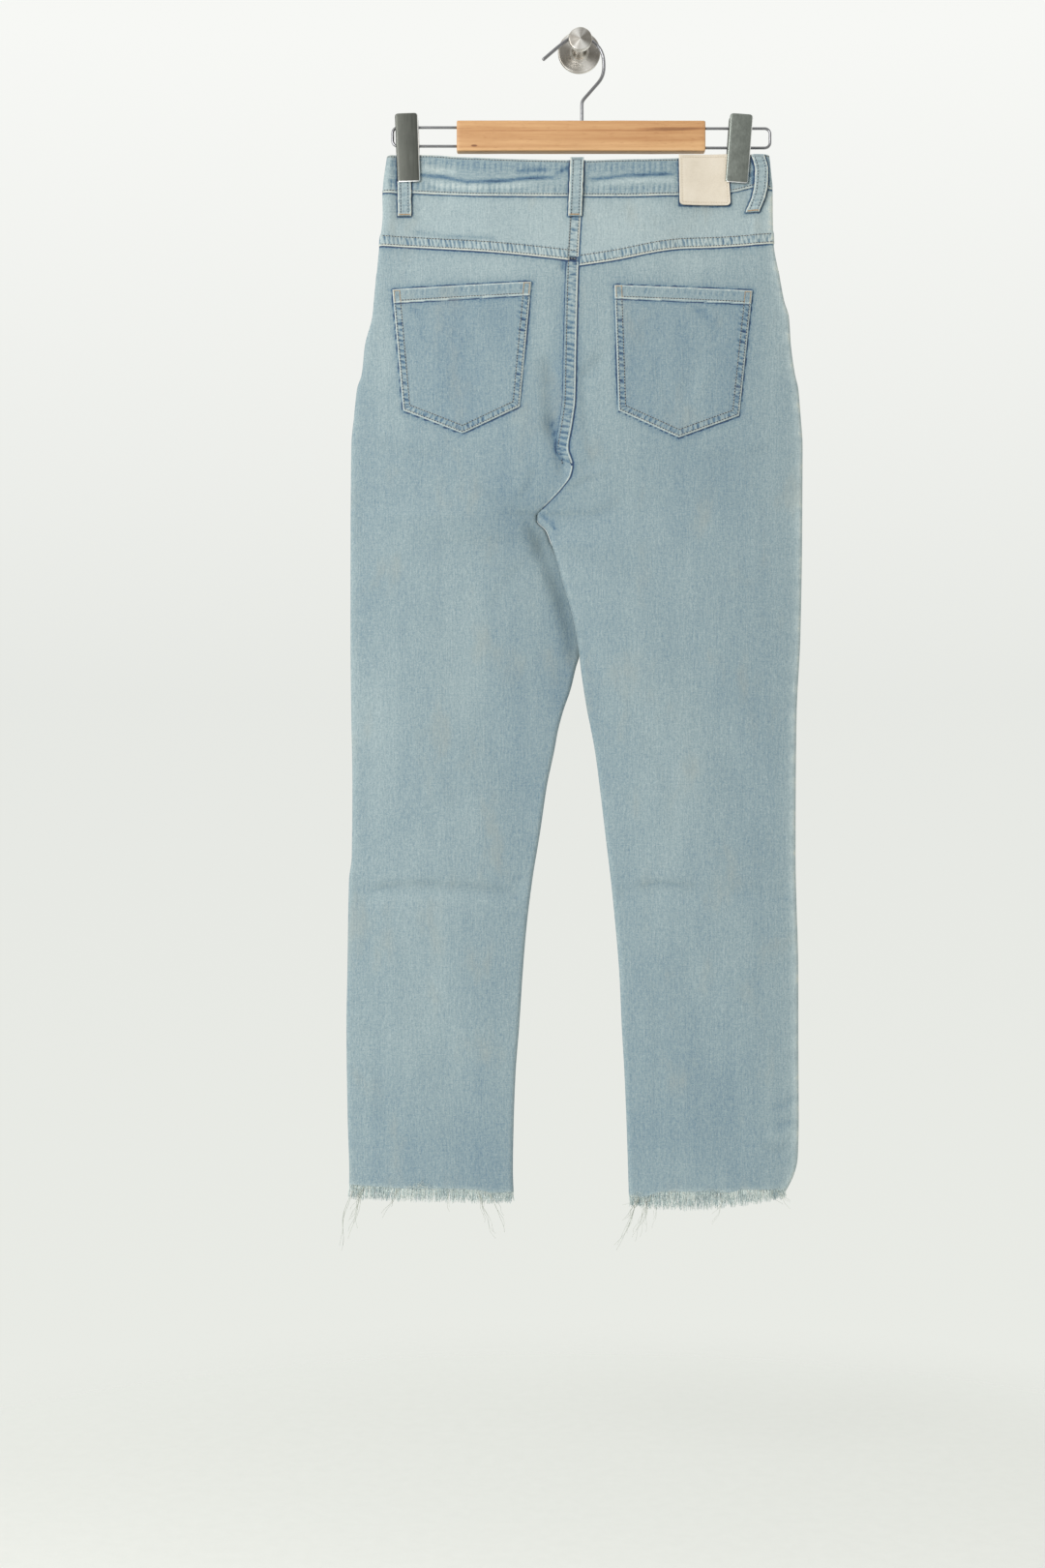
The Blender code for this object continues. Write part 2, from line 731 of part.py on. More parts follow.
def fly_shield(collection):
    """A narrow double strip behind the fly, just inside the front panels."""
    rows, columns = 6, 4

    def point(row, column):
        down = FLY_TOP + FLY_LENGTH * row / (rows - 1)
        x = FRONT_CENTRE + mix(*FLY_REACH, column / (columns - 1))
        return surface("front", "left", x, down)

    cloth("fly_shield", rows, columns, point, SHIELD, denim(), collection, Vector((0, 1, 0)),
          offset=-(DENIM + LAID_GAP))


# ---------------------------------------------------------------- waistband and what is sewn on

BAND_LOW, BAND_HIGH = -184.0, 179.8     # the side folds, as the stations along the band count x
BAND_RIM = (0.0, 0.6, 2.2, 4.6)         # stations this far in from a fold
BAND_MIDDLE = (-170, -159, -148, -130, -110, -88, -66, -44, -22, 0, 22, 44, 66, 88, 106, 122, 136, 147, 161, 169)
BAND_CLEAR = 8.0                        # least distance from the lap to the next station
BAND_LEVELS = (0.0, 0.35, 0.65, 1.0)
BAND_GHOST = 2.0


def band_stations():
    """The waistband's way round as (face, x): from its hidden end at the centre front over the right half of
    the front, the back and the left half of the front to its other end."""
    xs = [BAND_LOW + step for step in BAND_RIM] + list(BAND_MIDDLE)
    xs += [BAND_HIGH - step for step in reversed(BAND_RIM)]
    start = FRONT_CENTRE - UNDERLAP
    lap = (start, mix(start, FRONT_CENTRE, 0.5), FRONT_CENTRE + LAP_RAMP[0], FRONT_CENTRE + sum(LAP_RAMP) / 2,
           FRONT_CENTRE + LAP_RAMP[1])
    way = [("front", x) for x in lap]
    way += [("front", x) for x in xs if x > lap[-1] + BAND_CLEAR]
    way += [("back", x) for x in reversed(xs[1:-1])]
    way += [("front", x) for x in xs if x < FRONT_CENTRE - BAND_CLEAR]
    way.append(("front", FRONT_CENTRE - GAP))
    return way


def waistband(collection):
    way = band_stations()

    def station(column, level):
        face, x = way[column]
        down = mix(read(BAND_TOP, "x", "down", x), read(BAND_SEAM, "x", "down", x), level)
        share = (x - BAND_LOW) / (BAND_HIGH - BAND_LOW)
        here = band_surface(face, mix(outer_edge("left", down), outer_edge("right", down), share), down)
        if column < len(way) // 3:
            beyond = x - FRONT_CENTRE - LAP_RAMP[0]
            here.y -= (BAND + GAP) * (1 - ease(beyond / (LAP_RAMP[1] - LAP_RAMP[0])))
        return here

    def point(row, column):
        step = -BAND_GHOST if row < 0 else BAND_GHOST if row >= len(BAND_LEVELS) else 0.0
        level = BAND_LEVELS[min(max(row, 0), len(BAND_LEVELS) - 1)]
        if column < 0:
            here = 2 * station(0, level) - station(1, level)
        elif column >= len(way):
            here = 2 * station(-1, level) - station(-2, level)
        else:
            here = station(column, level)
        here.z -= step
        return here

    cloth("waistband", len(BAND_LEVELS), len(way), point, BAND, denim(), collection, Vector((0, -1, 0)))


LAID_GHOST = 0.02                       # share of a laid piece's size, for the direction of its edges


def laid_piece(name, levels, shares, place, base, thickness, stuff, collection, face, lift=None, rise=None):
    """A piece that lies on the garment: place(share, level) gives its x and down, base the surface below."""
    def past(values, index):
        """A value, or a little less or more than the first or last one past its end."""
        inside = min(max(index, 0), len(values) - 1)
        return values[inside] + LAID_GHOST * (index - inside)

    def at(row, column):
        level = past(levels, row)
        x, down = place(past(shares, column), level)
        here = base(x, down)
        if lift:
            here.y += SIGN[face] * lift(level)
        return here

    cloth(name, len(levels), len(shares), at, thickness, stuff, collection, Vector((0, SIGN[face], 0)),
          offset=LAID_GAP + thickness, rise=rise)


def over_band(face):
    """The waistband's surface down to its seam, then the panels' and their felled seams' below it."""
    def base(x, down):
        seam = read(BAND_SEAM, "x", "down", x)
        side = "left" if x < read(SEAT_SEAM, "down", "x", down) else "right"
        low = surface(face, side, x, down)
        high = band_surface(face, x, down)
        t = ease((down - seam - 2) / 6)
        return Vector((x, mix(high.y, low.y + SIGN[face] * YOKE_CLEARANCE, t), -down))
    return base


def back_pocket(side, collection):
    outline = BACK_POCKETS[side]
    (left_top, right_top), (left_low, tip, right_low) = outline["top"], outline["low"]
    tip_share = (tip[0] - left_low[0]) / (right_low[0] - left_low[0])
    height = left_low[1] - left_top[1]
    hem = POCKET_HEM / height
    levels = (0.0, hem, hem + POCKET_HEM_STEP, 0.3, 0.5, 0.7, 0.86, 1.0)
    shares = [mix(0, tip_share, k / 4) for k in range(5)] + [mix(tip_share, 1, k / 4) for k in range(1, 5)]

    def place(share, level):
        low_left = share / tip_share
        low_right = (share - tip_share) / (1 - tip_share)
        low = mix(left_low[1], tip[1], low_left) if share < tip_share else mix(tip[1], right_low[1], low_right)
        top = mix(left_top[1], right_top[1], share)
        left_x = mix(left_top[0], left_low[0], level)
        right_x = mix(right_top[0], right_low[0], level)
        return mix(left_x, right_x, share), mix(top, low, level)

    def base(x, down):
        return surface("back", side, x, down)

    laid_piece(f"back_pocket_{side}", levels, shares, place, base, DENIM, denim(), collection, "back",
               rise=lambda row, column: POCKET_HEM_RISE if row < 2 else 0.0)


def belt_loop(name, collection):
    face, stand_off, route = BELT_LOOPS[name]
    top, bottom = route["down"][0], route["down"][-1]
    levels = (0.0, 0.12, 0.3, 0.5, 0.68, 0.84, 1.0)

    def place(share, level):
        down = mix(top, bottom, level)
        return read(route, "down", "x", down) + (share - 0.5) * LOOP_WIDTH, down

    def lift(level):
        return stand_off * math.sin(math.pi * min(1, max(0, level))) ** 1.5

    laid_piece(name, levels, (0.0, 0.5, 1.0), place, over_band(face), LOOP_CLOTH, denim(), collection, face,
               lift=lift)


def waist_patch(collection):
    a, b, c, d = PATCH_CORNERS

    def place(share, level):
        x = mix(mix(a[0], b[0], share), mix(d[0], c[0], share), level)
        return x, mix(mix(a[1], b[1], share), mix(d[1], c[1], share), level)

    laid_piece("waist_patch", (0.0, 0.25, 0.5, 0.72, 0.86, 1.0), (0.0, 0.25, 0.5, 0.75, 1.0), place,
               over_band("back"), LEATHER, material("patch", (0.77, 0.69, 0.56), 0.75), collection, "back")


def waist_button(collection):
    x = FRONT_CENTRE - BUTTON_INSET
    down = (read(BAND_TOP, "x", "down", x) + read(BAND_SEAM, "x", "down", x)) / 2
    around = (-BUTTON_RADIUS, 0, BUTTON_RADIUS)
    face_y = max(band_surface("front", x + dx, down + dz).y for dx in around for dz in around)
    bpy.ops.mesh.primitive_cylinder_add(vertices=24, radius=BUTTON_RADIUS * MM, depth=BUTTON_HEIGHT * MM)
    made = bpy.context.object
    made.location = Vector((x, face_y + GAP + BUTTON_HEIGHT / 2, -down)) * MM
    made.rotation_euler = (math.pi / 2, 0, 0)
    brass = material("antique_brass", (0.35, 0.26, 0.16), 0.4, 1.0)
    finish_primitive(made, "waist_button", brass, collection, BUTTON_ROUNDING)


SHARP_PRIMITIVE = math.radians(35)


def finish_primitive(made, name, stuff, collection, bevel, segments=2):
    """Name a primitive, move it to the model's collection and round its edges."""
    made.name = name
    made.data.name = name
    own = stuff.copy()
    own.name = name
    made.data.materials.append(own)
    for owner in list(made.users_collection):
        owner.objects.unlink(made)
    collection.objects.link(made)
    rounding = made.modifiers.new("rounded edges", "BEVEL")
    rounding.width = bevel * MM
    rounding.segments = segments
    rounding.limit_method = "ANGLE"
    made.data.shade_smooth()
    made.data.set_sharp_from_angle(angle=SHARP_PRIMITIVE)


# ---------------------------------------------------------------- frayed hems

def hem_ring(side, drop):
    """The corners of the leg's outer section at its cut edge, a little lower down."""
    line = hem_line(side)
    start = on_line(line, outer_edge, side)
    end = on_line(line, inner_edge, side)
    xs = across(start, end, EDGE_STEPS, EDGE_STEPS, PANEL_COLUMNS)
    below = Vector((0, 0, -drop))
    ring = [surface("back", side, x, line(x)) + below for x in xs]
    ring += [surface("front", side, x, line(x)) + below for x in reversed(xs[1:-1])]
    return ring


def along_ring(points):
    """Running length at each point of a closed line, and its whole length."""
    lengths = [0.0]
    for a, b in zip(points, points[1:] + points[:1]):
        lengths.append(lengths[-1] + (b - a).length)
    return lengths[:-1], lengths[-1]


RING_REACH = 1.2          # a ring's direction is taken over this length to both sides


def ring_point(points, lengths, whole, at):
    """The point at a running length round a closed line."""
    at %= whole
    index = bisect_right(lengths, at) - 1
    a, b = points[index], points[(index + 1) % len(points)]
    return a.lerp(b, (at - lengths[index]) / (b - a).length)


def ring_outward(points, lengths, whole, at):
    """The level direction across a closed line, to its right."""
    run = (ring_point(points, lengths, whole, at + RING_REACH)
           - ring_point(points, lengths, whole, at - RING_REACH))
    return Vector((run.y, -run.x, 0)).normalized()


def fringe_ring(side):
    """Points and faces of the ring of cloth, and the open quads underneath that the strands grow from."""
    ring = hem_ring(side, GAP)
    lengths, whole = along_ring(ring)
    pitch = whole / (2 * STRANDS)
    turn = 1 if side == "left" else -1
    outer, inner = [], []
    for k in range(2 * STRANDS):
        for at in (k * pitch, k * pitch + STRAND_ROOT):
            outer.append(ring_point(ring, lengths, whole, at))
            inner.append(outer[-1] - ring_outward(ring, lengths, whole, at) * DENIM * turn)
    count = len(outer)
    fall = Vector((0, 0, -STRIP_HEIGHT))
    points = outer + inner + [p + fall for p in outer] + [p + fall for p in inner]
    faces, roots = [], []
    for k in range(count):
        n = (k + 1) % count
        faces.append((k, n, 2 * count + n, 2 * count + k))
        faces.append((count + k, 3 * count + k, 3 * count + n, count + n))
        faces.append((k, count + k, count + n, n))
        below = (2 * count + k, 2 * count + n, 3 * count + n, 3 * count + k)
        if k % 2:
            faces.append(below)
        else:
            roots.append(below)
    return points, faces, roots


def long_strands(side, centres):
    """For each long thread's row in the table, the nearest root on the back of the leg, each used once."""
    threads = LONG_THREADS[side]
    middle = sum(centre.y for centre in centres) / len(centres)
    free = [k for k, centre in enumerate(centres) if centre.y < middle]
    taken = {}
    for row, root_x in enumerate(threads["root"]):
        best = min(free, key=lambda k: abs(centres[k].x - root_x))
        free.remove(best)
        taken[best] = row
    return taken


def long_path(root, tip_x, tip_down, bow, out):
    """Straight down past the short strands, then towards the tip with a sideways bow."""
    first = root + Vector((0, 0, -LONG_STRAIGHT))
    tip = Vector((tip_x, root.y - out * LONG_DRIFT, -tip_down))
    path = [first]
    for k in range(1, LONG_STEPS + 1):
        t = k / LONG_STEPS
        here = first.lerp(tip, t)
        here.x += bow * math.sin(math.pi * t)
        path.append(here)
    return path


def short_path(root, side, k):
    """One step down, to a tip that strays a little: k makes each strand its own."""
    turn = 1 if side == "left" else -1
    hang = root.z + read(HEMS[side], "x", "fray", root.x)
    length = max(STRAND_SHORTEST, hang * mix(*STRAND_LENGTHS, wobble(k + 7 * turn)))
    return [root + Vector(((wobble(3 * k + 1) - 0.5) * STRAND_SWAY[0],
                           (wobble(5 * k + 2) - 0.5) * STRAND_SWAY[1], -length))]


def hem_fringe(side, collection):
    """A ring of cloth parted from the hem, with a tapering strand under every second length of it."""
    points, faces, roots = fringe_ring(side)
    threads = LONG_THREADS[side]
    centres = [sum((points[corner] for corner in root), Vector()) / 4 for root in roots]
    taken = long_strands(side, centres)
    for k, (root, centre) in enumerate(zip(roots, centres)):
        corners = [points[corner] for corner in root]
        if k in taken:
            path = long_path(centre, *(threads[key][taken[k]] for key in ("tip", "down", "bow", "out")))
        else:
            path = short_path(centre, side, k)
        before = root
        for step, place in enumerate(path):
            size = mix(*STRAND_SIZES, (step + 1) / len(path))
            now = tuple(range(len(points), len(points) + 4))
            points += [place + (corner - centre) * size for corner in corners]
            for a, b in ((0, 1), (1, 2), (2, 3), (3, 0)):
                faces.append((before[a], before[b], now[b], now[a]))
            before = now
        faces.append(before)
    white = material("fray", (0.62, 0.66, 0.62), 0.95)
    add(f"hem_fringe_{side}", closed_mesh(f"hem_fringe_{side}", points, faces), white, collection)


# ---------------------------------------------------------------- hanger

def smooth_route(points, per_span):
    """Points of a smooth curve through a route's own points."""
    route = []
    for k in range(len(points) - 1):
        before, a = points[max(k - 1, 0)], points[k]
        b, after = points[k + 1], points[min(k + 2, len(points) - 1)]
        for step in range(per_span):
            t = step / per_span
            route.append(0.5 * (2 * a + (b - before) * t + (2 * before - 5 * a + 4 * b - after) * t * t
                                + (3 * a - before - 3 * b + after) * t ** 3))
    route.append(points[-1].copy())
    return route


def wire(name, route, radius, stuff, collection):
    """A round wire along a route, with flat ends."""
    curve = bpy.data.curves.new(name, "CURVE")
    curve.dimensions = "3D"
    curve.bevel_depth = radius * MM
    curve.bevel_resolution = 2
    curve.use_fill_caps = True
    spline = curve.splines.new("POLY")
    spline.points.add(len(route) - 1)
    for place, here in zip(spline.points, route):
        place.co = (*(here * MM), 1.0)
    own = stuff.copy()
    own.name = name
    curve.materials.append(own)
    made = bpy.data.objects.new(name, curve)
    collection.objects.link(made)
    return made


def chrome():
    return material("chrome", (0.75, 0.75, 0.74), 0.18, 1.0)


def brushed():
    return material("brushed steel", (0.42, 0.43, 0.41), 0.38, 1.0)


def hanger_bar(collection):
    bpy.ops.mesh.primitive_cube_add(size=1)
    made = bpy.context.object
    made.scale = Vector((BAR_RIGHT - BAR_LEFT, BAR_DEPTH, BAR_BOTTOM - BAR_TOP)) * MM
    bpy.ops.object.transform_apply(location=False, rotation=False, scale=True)
    made.location = Vector(((BAR_LEFT + BAR_RIGHT) / 2, HANGER_Y, -(BAR_TOP + BAR_BOTTOM) / 2)) * MM
    finish_primitive(made, "hanger_bar", material("beech", (0.64, 0.38, 0.18), 0.45), collection, BAR_ROUNDING)


def hanger_hook(collection):
    route = [Vector((x, HANGER_Y, -down)) for x, down in HOOK_ROUTE]
    wire("hanger_hook", smooth_route(route, 2), WIRE_RADIUS, chrome(), collection)


def clip_wire(side, collection):
    """A flat loop of wire out of the bar's end and back into it."""
    end = CLIP_WIRE_END[side]
    inward = 1 if side == "left" else -1
    bar_end = BAR_LEFT - GAP if side == "left" else BAR_RIGHT + GAP
    high, low = (-down for down in CLIP_WIRE_DOWN[side])
    route = [Vector((bar_end, HANGER_Y, high)), Vector((mix(bar_end, end, 0.5), HANGER_Y, high))]
    for centre_z, first in ((high - CLIP_WIRE_CORNER, 0), (low + CLIP_WIRE_CORNER, 1)):
        for k in range(5):
            angle = math.pi / 2 * (first + k / 4)
            x = end + inward * CLIP_WIRE_CORNER * (1 - math.sin(angle))
            route.append(Vector((x, HANGER_Y, centre_z + CLIP_WIRE_CORNER * math.cos(angle))))
    route += [Vector((mix(bar_end, end, 0.5), HANGER_Y, low)), Vector((bar_end, HANGER_Y, low))]
    wire(f"clip_wire_{side}", route, WIRE_RADIUS, chrome(), collection)


def clip_plate(side, face, collection):
    """A folded steel plate: flat outside, with a narrow flange turned in along both long edges."""
    top_x, top_down = CLIPS[side]["top"]
    bottom_x, bottom_down = CLIPS[side]["bottom"]
    sign = SIGN[face]
    half = CLIP_WIDTH / 2
    # Across the plate: offset from its middle, and depth inwards from its outer face.
    outside = ((-half, CLIP_FLANGE), (-half, 0), (half, 0), (half, CLIP_FLANGE))
    inside = ((half - CLIP_PLATE, CLIP_FLANGE), (half - CLIP_PLATE, CLIP_PLATE),
              (-half + CLIP_PLATE, CLIP_PLATE), (-half + CLIP_PLATE, CLIP_FLANGE))
    section = outside + inside
    lean = Vector((bottom_x - top_x, 0, top_down - bottom_down)).normalized()
    side_way = Vector((-lean.z, 0, lean.x))
    points, faces = [], []
    for share, out, flange in CLIP_STATIONS:
        centre = Vector((mix(top_x, bottom_x, share), HANGER_Y + sign * out, -mix(top_down, bottom_down, share)))
        for offset, inwards in section:
            inwards = mix(CLIP_PLATE, inwards, flange) if inwards > CLIP_PLATE else inwards
            points.append(centre + side_way * offset - Vector((0, sign * inwards, 0)))
    size = len(section)
    for row in range(len(CLIP_STATIONS) - 1):
        for k in range(size):
            n = (k + 1) % size
            faces.append((row * size + k, row * size + n, (row + 1) * size + n, (row + 1) * size + k))
    faces.append(tuple(range(size)))
    faces.append(tuple(reversed(range(len(points) - size, len(points)))))
    add(f"clip_{face}_{side}", closed_mesh(f"clip_{face}_{side}", points, faces), brushed(), collection)


def clip_spring(side, collection):
    """The coil between a clip's plates, as one plain cylinder."""
    top, bottom = Vector(CLIPS[side]["top"]), Vector(CLIPS[side]["bottom"])
    middle = top.lerp(bottom, (sum(CLIP_WIRE_DOWN[side]) / 2 - top.y) / (bottom.y - top.y))
    bpy.ops.mesh.primitive_cylinder_add(vertices=16, radius=SPRING_RADIUS * MM, depth=SPRING_LENGTH * MM)
    made = bpy.context.object
    made.location = Vector((middle.x, HANGER_Y, -middle.y)) * MM
    made.rotation_euler = (0, math.pi / 2, 0)
    finish_primitive(made, f"clip_spring_{side}", brushed(), collection, SPRING_ROUNDING, 1)


# ---------------------------------------------------------------- wall knob

def turned(name, profile, stuff, collection):
    """A turned piece on the wall: profile rows are (radius, distance from the wall), front to back."""
    points, faces = [], []
    for radius, out in profile:
        for k in range(TURNED_SIDES):
            angle = 2 * math.pi * k / TURNED_SIDES
            points.append(Vector((radius * math.cos(angle), -out, radius * math.sin(angle))))
    for start in range(0, len(points) - TURNED_SIDES, TURNED_SIDES):
        for k in range(TURNED_SIDES):
            n = (k + 1) % TURNED_SIDES
            faces.append((start + k, start + n, start + TURNED_SIDES + n, start + TURNED_SIDES + k))
    faces.append(tuple(range(TURNED_SIDES)))
    faces.append(tuple(reversed(range(len(points) - TURNED_SIDES, len(points)))))
    return add(name, closed_mesh(name, points, faces), stuff, collection)


def arc(centre_radius, centre_out, radius, first, last, count):
    """Points of an arc in a turned profile, angles in degrees from the outward radius."""
    points = []
    for k in range(count + 1):
        angle = math.radians(mix(first, last, k / count))
        points.append((centre_radius + radius * math.cos(angle), centre_out + radius * math.sin(angle)))
    return points


def wall_plate(collection):
    profile = arc(PLATE_RADIUS - PLATE_ROUNDING, PLATE_DEPTH - PLATE_ROUNDING, PLATE_ROUNDING, 90, 0, 4)
    profile.append((PLATE_RADIUS, 0))
    turned("wall_plate", profile, chrome(), collection)


def wall_knob(collection):
    """A cap on a stem that flares into its foot, a little way off the plate."""
    back = KNOB_DEPTH - CAP_DEPTH
    foot = PLATE_DEPTH + GAP
    profile = arc(CAP_RADIUS - CAP_ROUNDING, KNOB_DEPTH - CAP_ROUNDING, CAP_ROUNDING, 90, 0, 4)
    profile += arc(CAP_RADIUS - CAP_ROUNDING, back + CAP_ROUNDING, CAP_ROUNDING, 0, -90, 4)
    profile += [(STEM_RADIUS, back - 0.3 * STEM_FOOT), (STEM_RADIUS, foot + STEM_FOOT)]
    profile += [(STEM_RADIUS + 0.25 * STEM_FOOT, foot + 0.4 * STEM_FOOT), (STEM_RADIUS + 0.8 * STEM_FOOT, foot)]
    turned("wall_knob", profile, chrome(), collection)


# ---------------------------------------------------------------- the whole model

def main():
    for old in list(bpy.data.objects):
        bpy.data.objects.remove(old, do_unlink=True)
    collection = bpy.data.collections.new(OBJECT_NAME)
    bpy.context.scene.collection.children.link(collection)
    for side in ("left", "right"):
        back_panel(side, collection)
        front_panel(side, collection)
        yoke(side, collection)
        pocket_facing(side, collection)
        back_pocket(side, collection)
        hem_fringe(side, collection)
        clip_wire(side, collection)
        clip_spring(side, collection)
        for face in ("back", "front"):
            clip_plate(side, face, collection)
    fly_shield(collection)
    waistband(collection)
    for name in BELT_LOOPS:
        belt_loop(name, collection)
    waist_patch(collection)
    waist_button(collection)
    hanger_bar(collection)
    hanger_hook(collection)
    wall_plate(collection)
    wall_knob(collection)


main()
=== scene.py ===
"""Looks for straight leg jeans on a clip hanger and wall knob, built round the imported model.

+X runs across the back of the jeans from the wearer's left to the right, +Y into the wall, +Z up, and
the back of the jeans faces -Y. Sizes are millimetres, turned into metres where a mesh is made. "down"
is the distance below the origin, which is the centre of the wall plate's back face.
"""

import math
from functools import partial

import bmesh
import bpy
import numpy as np
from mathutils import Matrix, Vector


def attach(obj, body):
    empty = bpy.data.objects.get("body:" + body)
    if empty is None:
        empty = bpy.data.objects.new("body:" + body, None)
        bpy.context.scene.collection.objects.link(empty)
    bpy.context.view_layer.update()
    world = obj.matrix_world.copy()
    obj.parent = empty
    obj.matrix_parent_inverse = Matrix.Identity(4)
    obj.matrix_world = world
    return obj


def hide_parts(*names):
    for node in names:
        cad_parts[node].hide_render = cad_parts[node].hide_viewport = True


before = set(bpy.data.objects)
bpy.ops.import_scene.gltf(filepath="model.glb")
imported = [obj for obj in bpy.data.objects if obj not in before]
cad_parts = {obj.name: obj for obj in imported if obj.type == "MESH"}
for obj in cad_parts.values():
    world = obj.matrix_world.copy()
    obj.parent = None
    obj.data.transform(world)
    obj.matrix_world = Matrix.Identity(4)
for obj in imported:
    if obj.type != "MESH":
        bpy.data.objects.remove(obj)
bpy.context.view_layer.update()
MM = 0.001
RANDOM = np.random.default_rng(20)

# ---------------------------------------------------------------- sizes shared with the solids

DENIM = 1.1            # one layer of denim
BAND = 3.0             # waistband, folded over its own seam allowances
FACING = 0.8
SHIELD = 1.0
LEATHER = 1.2
LOOP_CLOTH = 1.3
GAP = 0.3
YOKE_CLEARANCE = 1.2
BAND_RISE = 0.8
FELL_RISE = 0.7
FELL_WIDTH = 10.8
FOLD_RADIUS = {"cloth": 3.5, "band": 4.6}
CROTCH = 439.2
CROTCH_X = -40.4
SEAT_ROUNDING = 45.0
SEAM_HALF = GAP / 2
CLIP_WIDTH = 21.4
CLIP_GRIP = 131.0
GRIP_LEAST = {"back": 1.6, "front": 2.8}
BAND_LEAST = BAND + 0.2
GRIP_MARGIN = 2.0
GRIP_SPREAD_IN = 60.0
GRIP_SPREAD_OUT = 8.0
GRIP_FADE = 95.0
FRONT_CENTRE = -3.0
UNDERLAP = 32.0
STRIP_END = 398.0      # down, where the seat's felled strip passes out of sight under the fold
LAP_RAMP = (2.0, 22.0)
SCOOP_WIDTH = 85.0
SCOOP_HEIGHT = 72.0
FACING_MARGIN = 16.0
FLY_LENGTH = 165.0
TUCK = 4.0             # how far a piece runs on under the one that is sewn over it
BAND_ENDS = (-181.0, 177.5)   # x that the waistband's measures run between, from side fold to side fold
BAND_HEIGHT = 34.0
LOOP_OFF = 0.4         # between a belt loop's sewn ends and what they lie on
PATCH_OFF = 0.5        # between the patch and the waistband
SHIELD_OFF = 0.5       # between the front panel and the shield behind it
SHIELD_TOP = 147.5
FACING_DEEP = 1.06     # how far down the facing runs, as a share of the pocket mouth's height
FACING_UNDER = 2.0     # how far up it runs under the waistband
FAR = 50.0             # a mark's distance where nothing is near
NO_SEAM = 99.0         # a distance where a panel has no such seam

SIGN = {"back": -1.0, "front": 1.0}
INWARD = {"left": 1.0, "right": -1.0}


def table(columns, *rows):
    """Columns of numbers, by name."""
    return {name: np.array([row[at] for row in rows], float) for at, name in enumerate(columns.split())}


SIDE_SEAMS = table(
    "down left right",
    (104, -179.9, 176.7), (141, -184.2, 179.9), (159, -183.9, 180), (186, -186.8, 180.8),
    (213, -189.4, 185.4), (240, -191.9, 190.4), (254, -193.3, 194.7), (281, -200.2, 196.6),
    (308, -203.2, 200.4), (321, -207.4, 203.4), (348, -210.4, 205.7), (375, -212.9, 207.5),
    (456, -213.6, 207.2), (555, -213.7, 205.5), (623, -213.1, 202.2), (690, -212, 201.4),
    (758, -212.6, 201.2), (780, -215.2, 201.5), (870, -216.8, 203.8), (915, -217.6, 203.8),
    (1005, -216.4, 204.2), (1040, -215.2, 203.2), (1050, -215, 201.2), (1058, -215, 198.4),
    (1064, -215.2, 195.4), (1072, -215.4, 191),
)
SEAT_SEAM = table(
    "down x",
    (141, 2), (205, -1.5), (287, -3.7), (333, -4.6), (357, -7.6), (379, -11), (394, -7), (405, -9.4),
    (414, -15.8), (425, -25.9), (434, -35), (CROTCH, CROTCH_X),
)
INSEAMS = table(
    "down left right",
    (CROTCH, CROTCH_X - SEAM_HALF, CROTCH_X + SEAM_HALF), (445, -40.2, -39.5), (453.5, -32, -31.4),
    (465, -27.2, -26.8), (482, -18.5, -21.3), (499, -12.5, -16.7), (537, -1.5, -5.8), (557, 0.5, -2.2),
    (570, -0.5, -0.4), (580, -3.5, 0.7), (601, -8.6, 3.6), (622, -15.8, 7.1), (640, -20.6, 10.8),
    (660, -24.3, 14.5), (690, -30.7, 18.5), (735, -37.4, 23.9), (780, -44.7, 29.3), (825, -50.2, 33.8),
    (870, -53.9, 37.4), (915, -56.8, 39.4), (960, -60.3, 42), (1005, -62, 43.9), (1050, -62.8, 45.4),
    (1073, -62, 46.1),
)
DEPTHS = table(
    "down back front plane lap",
    (104, 11, 11, -25, 0), (141, 11, 11, -25, 0), (190, 12, 11, -25, 0), (250, 14.5, 12, -25, 0),
    (310, 16.5, 12, -25, 0), (360, 16, 12, -25, 0), (400, 14.5, 12, -24.5, 0),
    (CROTCH, 12.5, 11.5, -24, 0), (455, 12, 11, -24, 3), (470, 11.5, 11, -24, 6), (590, 10.5, 10, -23.5, 6),
    (660, 10, 10, -23, 2.5), (780, 9, 9, -23, 1), (950, 8.5, 8.5, -22.5, 0.5), (1074, 8, 8, -22.5, 0),
)
BAND_TOP = table("x down", (-180, 104.4), (-143.5, 104), (-107.5, 107.3), (-71.5, 109.4), (-35.5, 110.6),
                 (6, 111.2), (36.5, 110.3), (72.5, 109.5), (92, 108.4), (137, 105), (162, 103.8),
                 (176, 103.9))
BAND_SEAM = table("x down", (-184, 139.7), (-155, 139.7), (-134.5, 140.7), (-112, 142.4), (-89, 144),
                  (2, 144.9), (36, 144.9), (92, 142.9), (141, 138.6), (161, 134.6), (180, 137))
YOKE_SEAM = {
    "left": table("x down", (-186, 189), (-128, 193), (-73, 197.5), (-12, 204.2), (-1, 205.5)),
    "right": table("x down", (-1, 209.7), (33, 204.3), (74, 195.9), (95, 193.1), (129, 191.2), (180, 187)),
}
HEMS = {
    "left": table("x cloth fray", (-217, 1063.3, 1077), (-190, 1064.6, 1077.8), (-168, 1066.2, 1078.6),
                  (-130, 1066.4, 1079.2), (-98, 1067.4, 1080.2), (-80, 1070.6, 1080.8),
                  (-62, 1070.8, 1080.4)),
    "right": table("x cloth fray", (46, 1073.4, 1083.6), (60, 1074.4, 1085.4), (76, 1069.6, 1086.4),
                   (110, 1069.2, 1086.6), (138, 1070, 1084), (152, 1067.4, 1082.6), (180, 1068.2, 1078.6),
                   (192, 1069.6, 1075.6)),
}
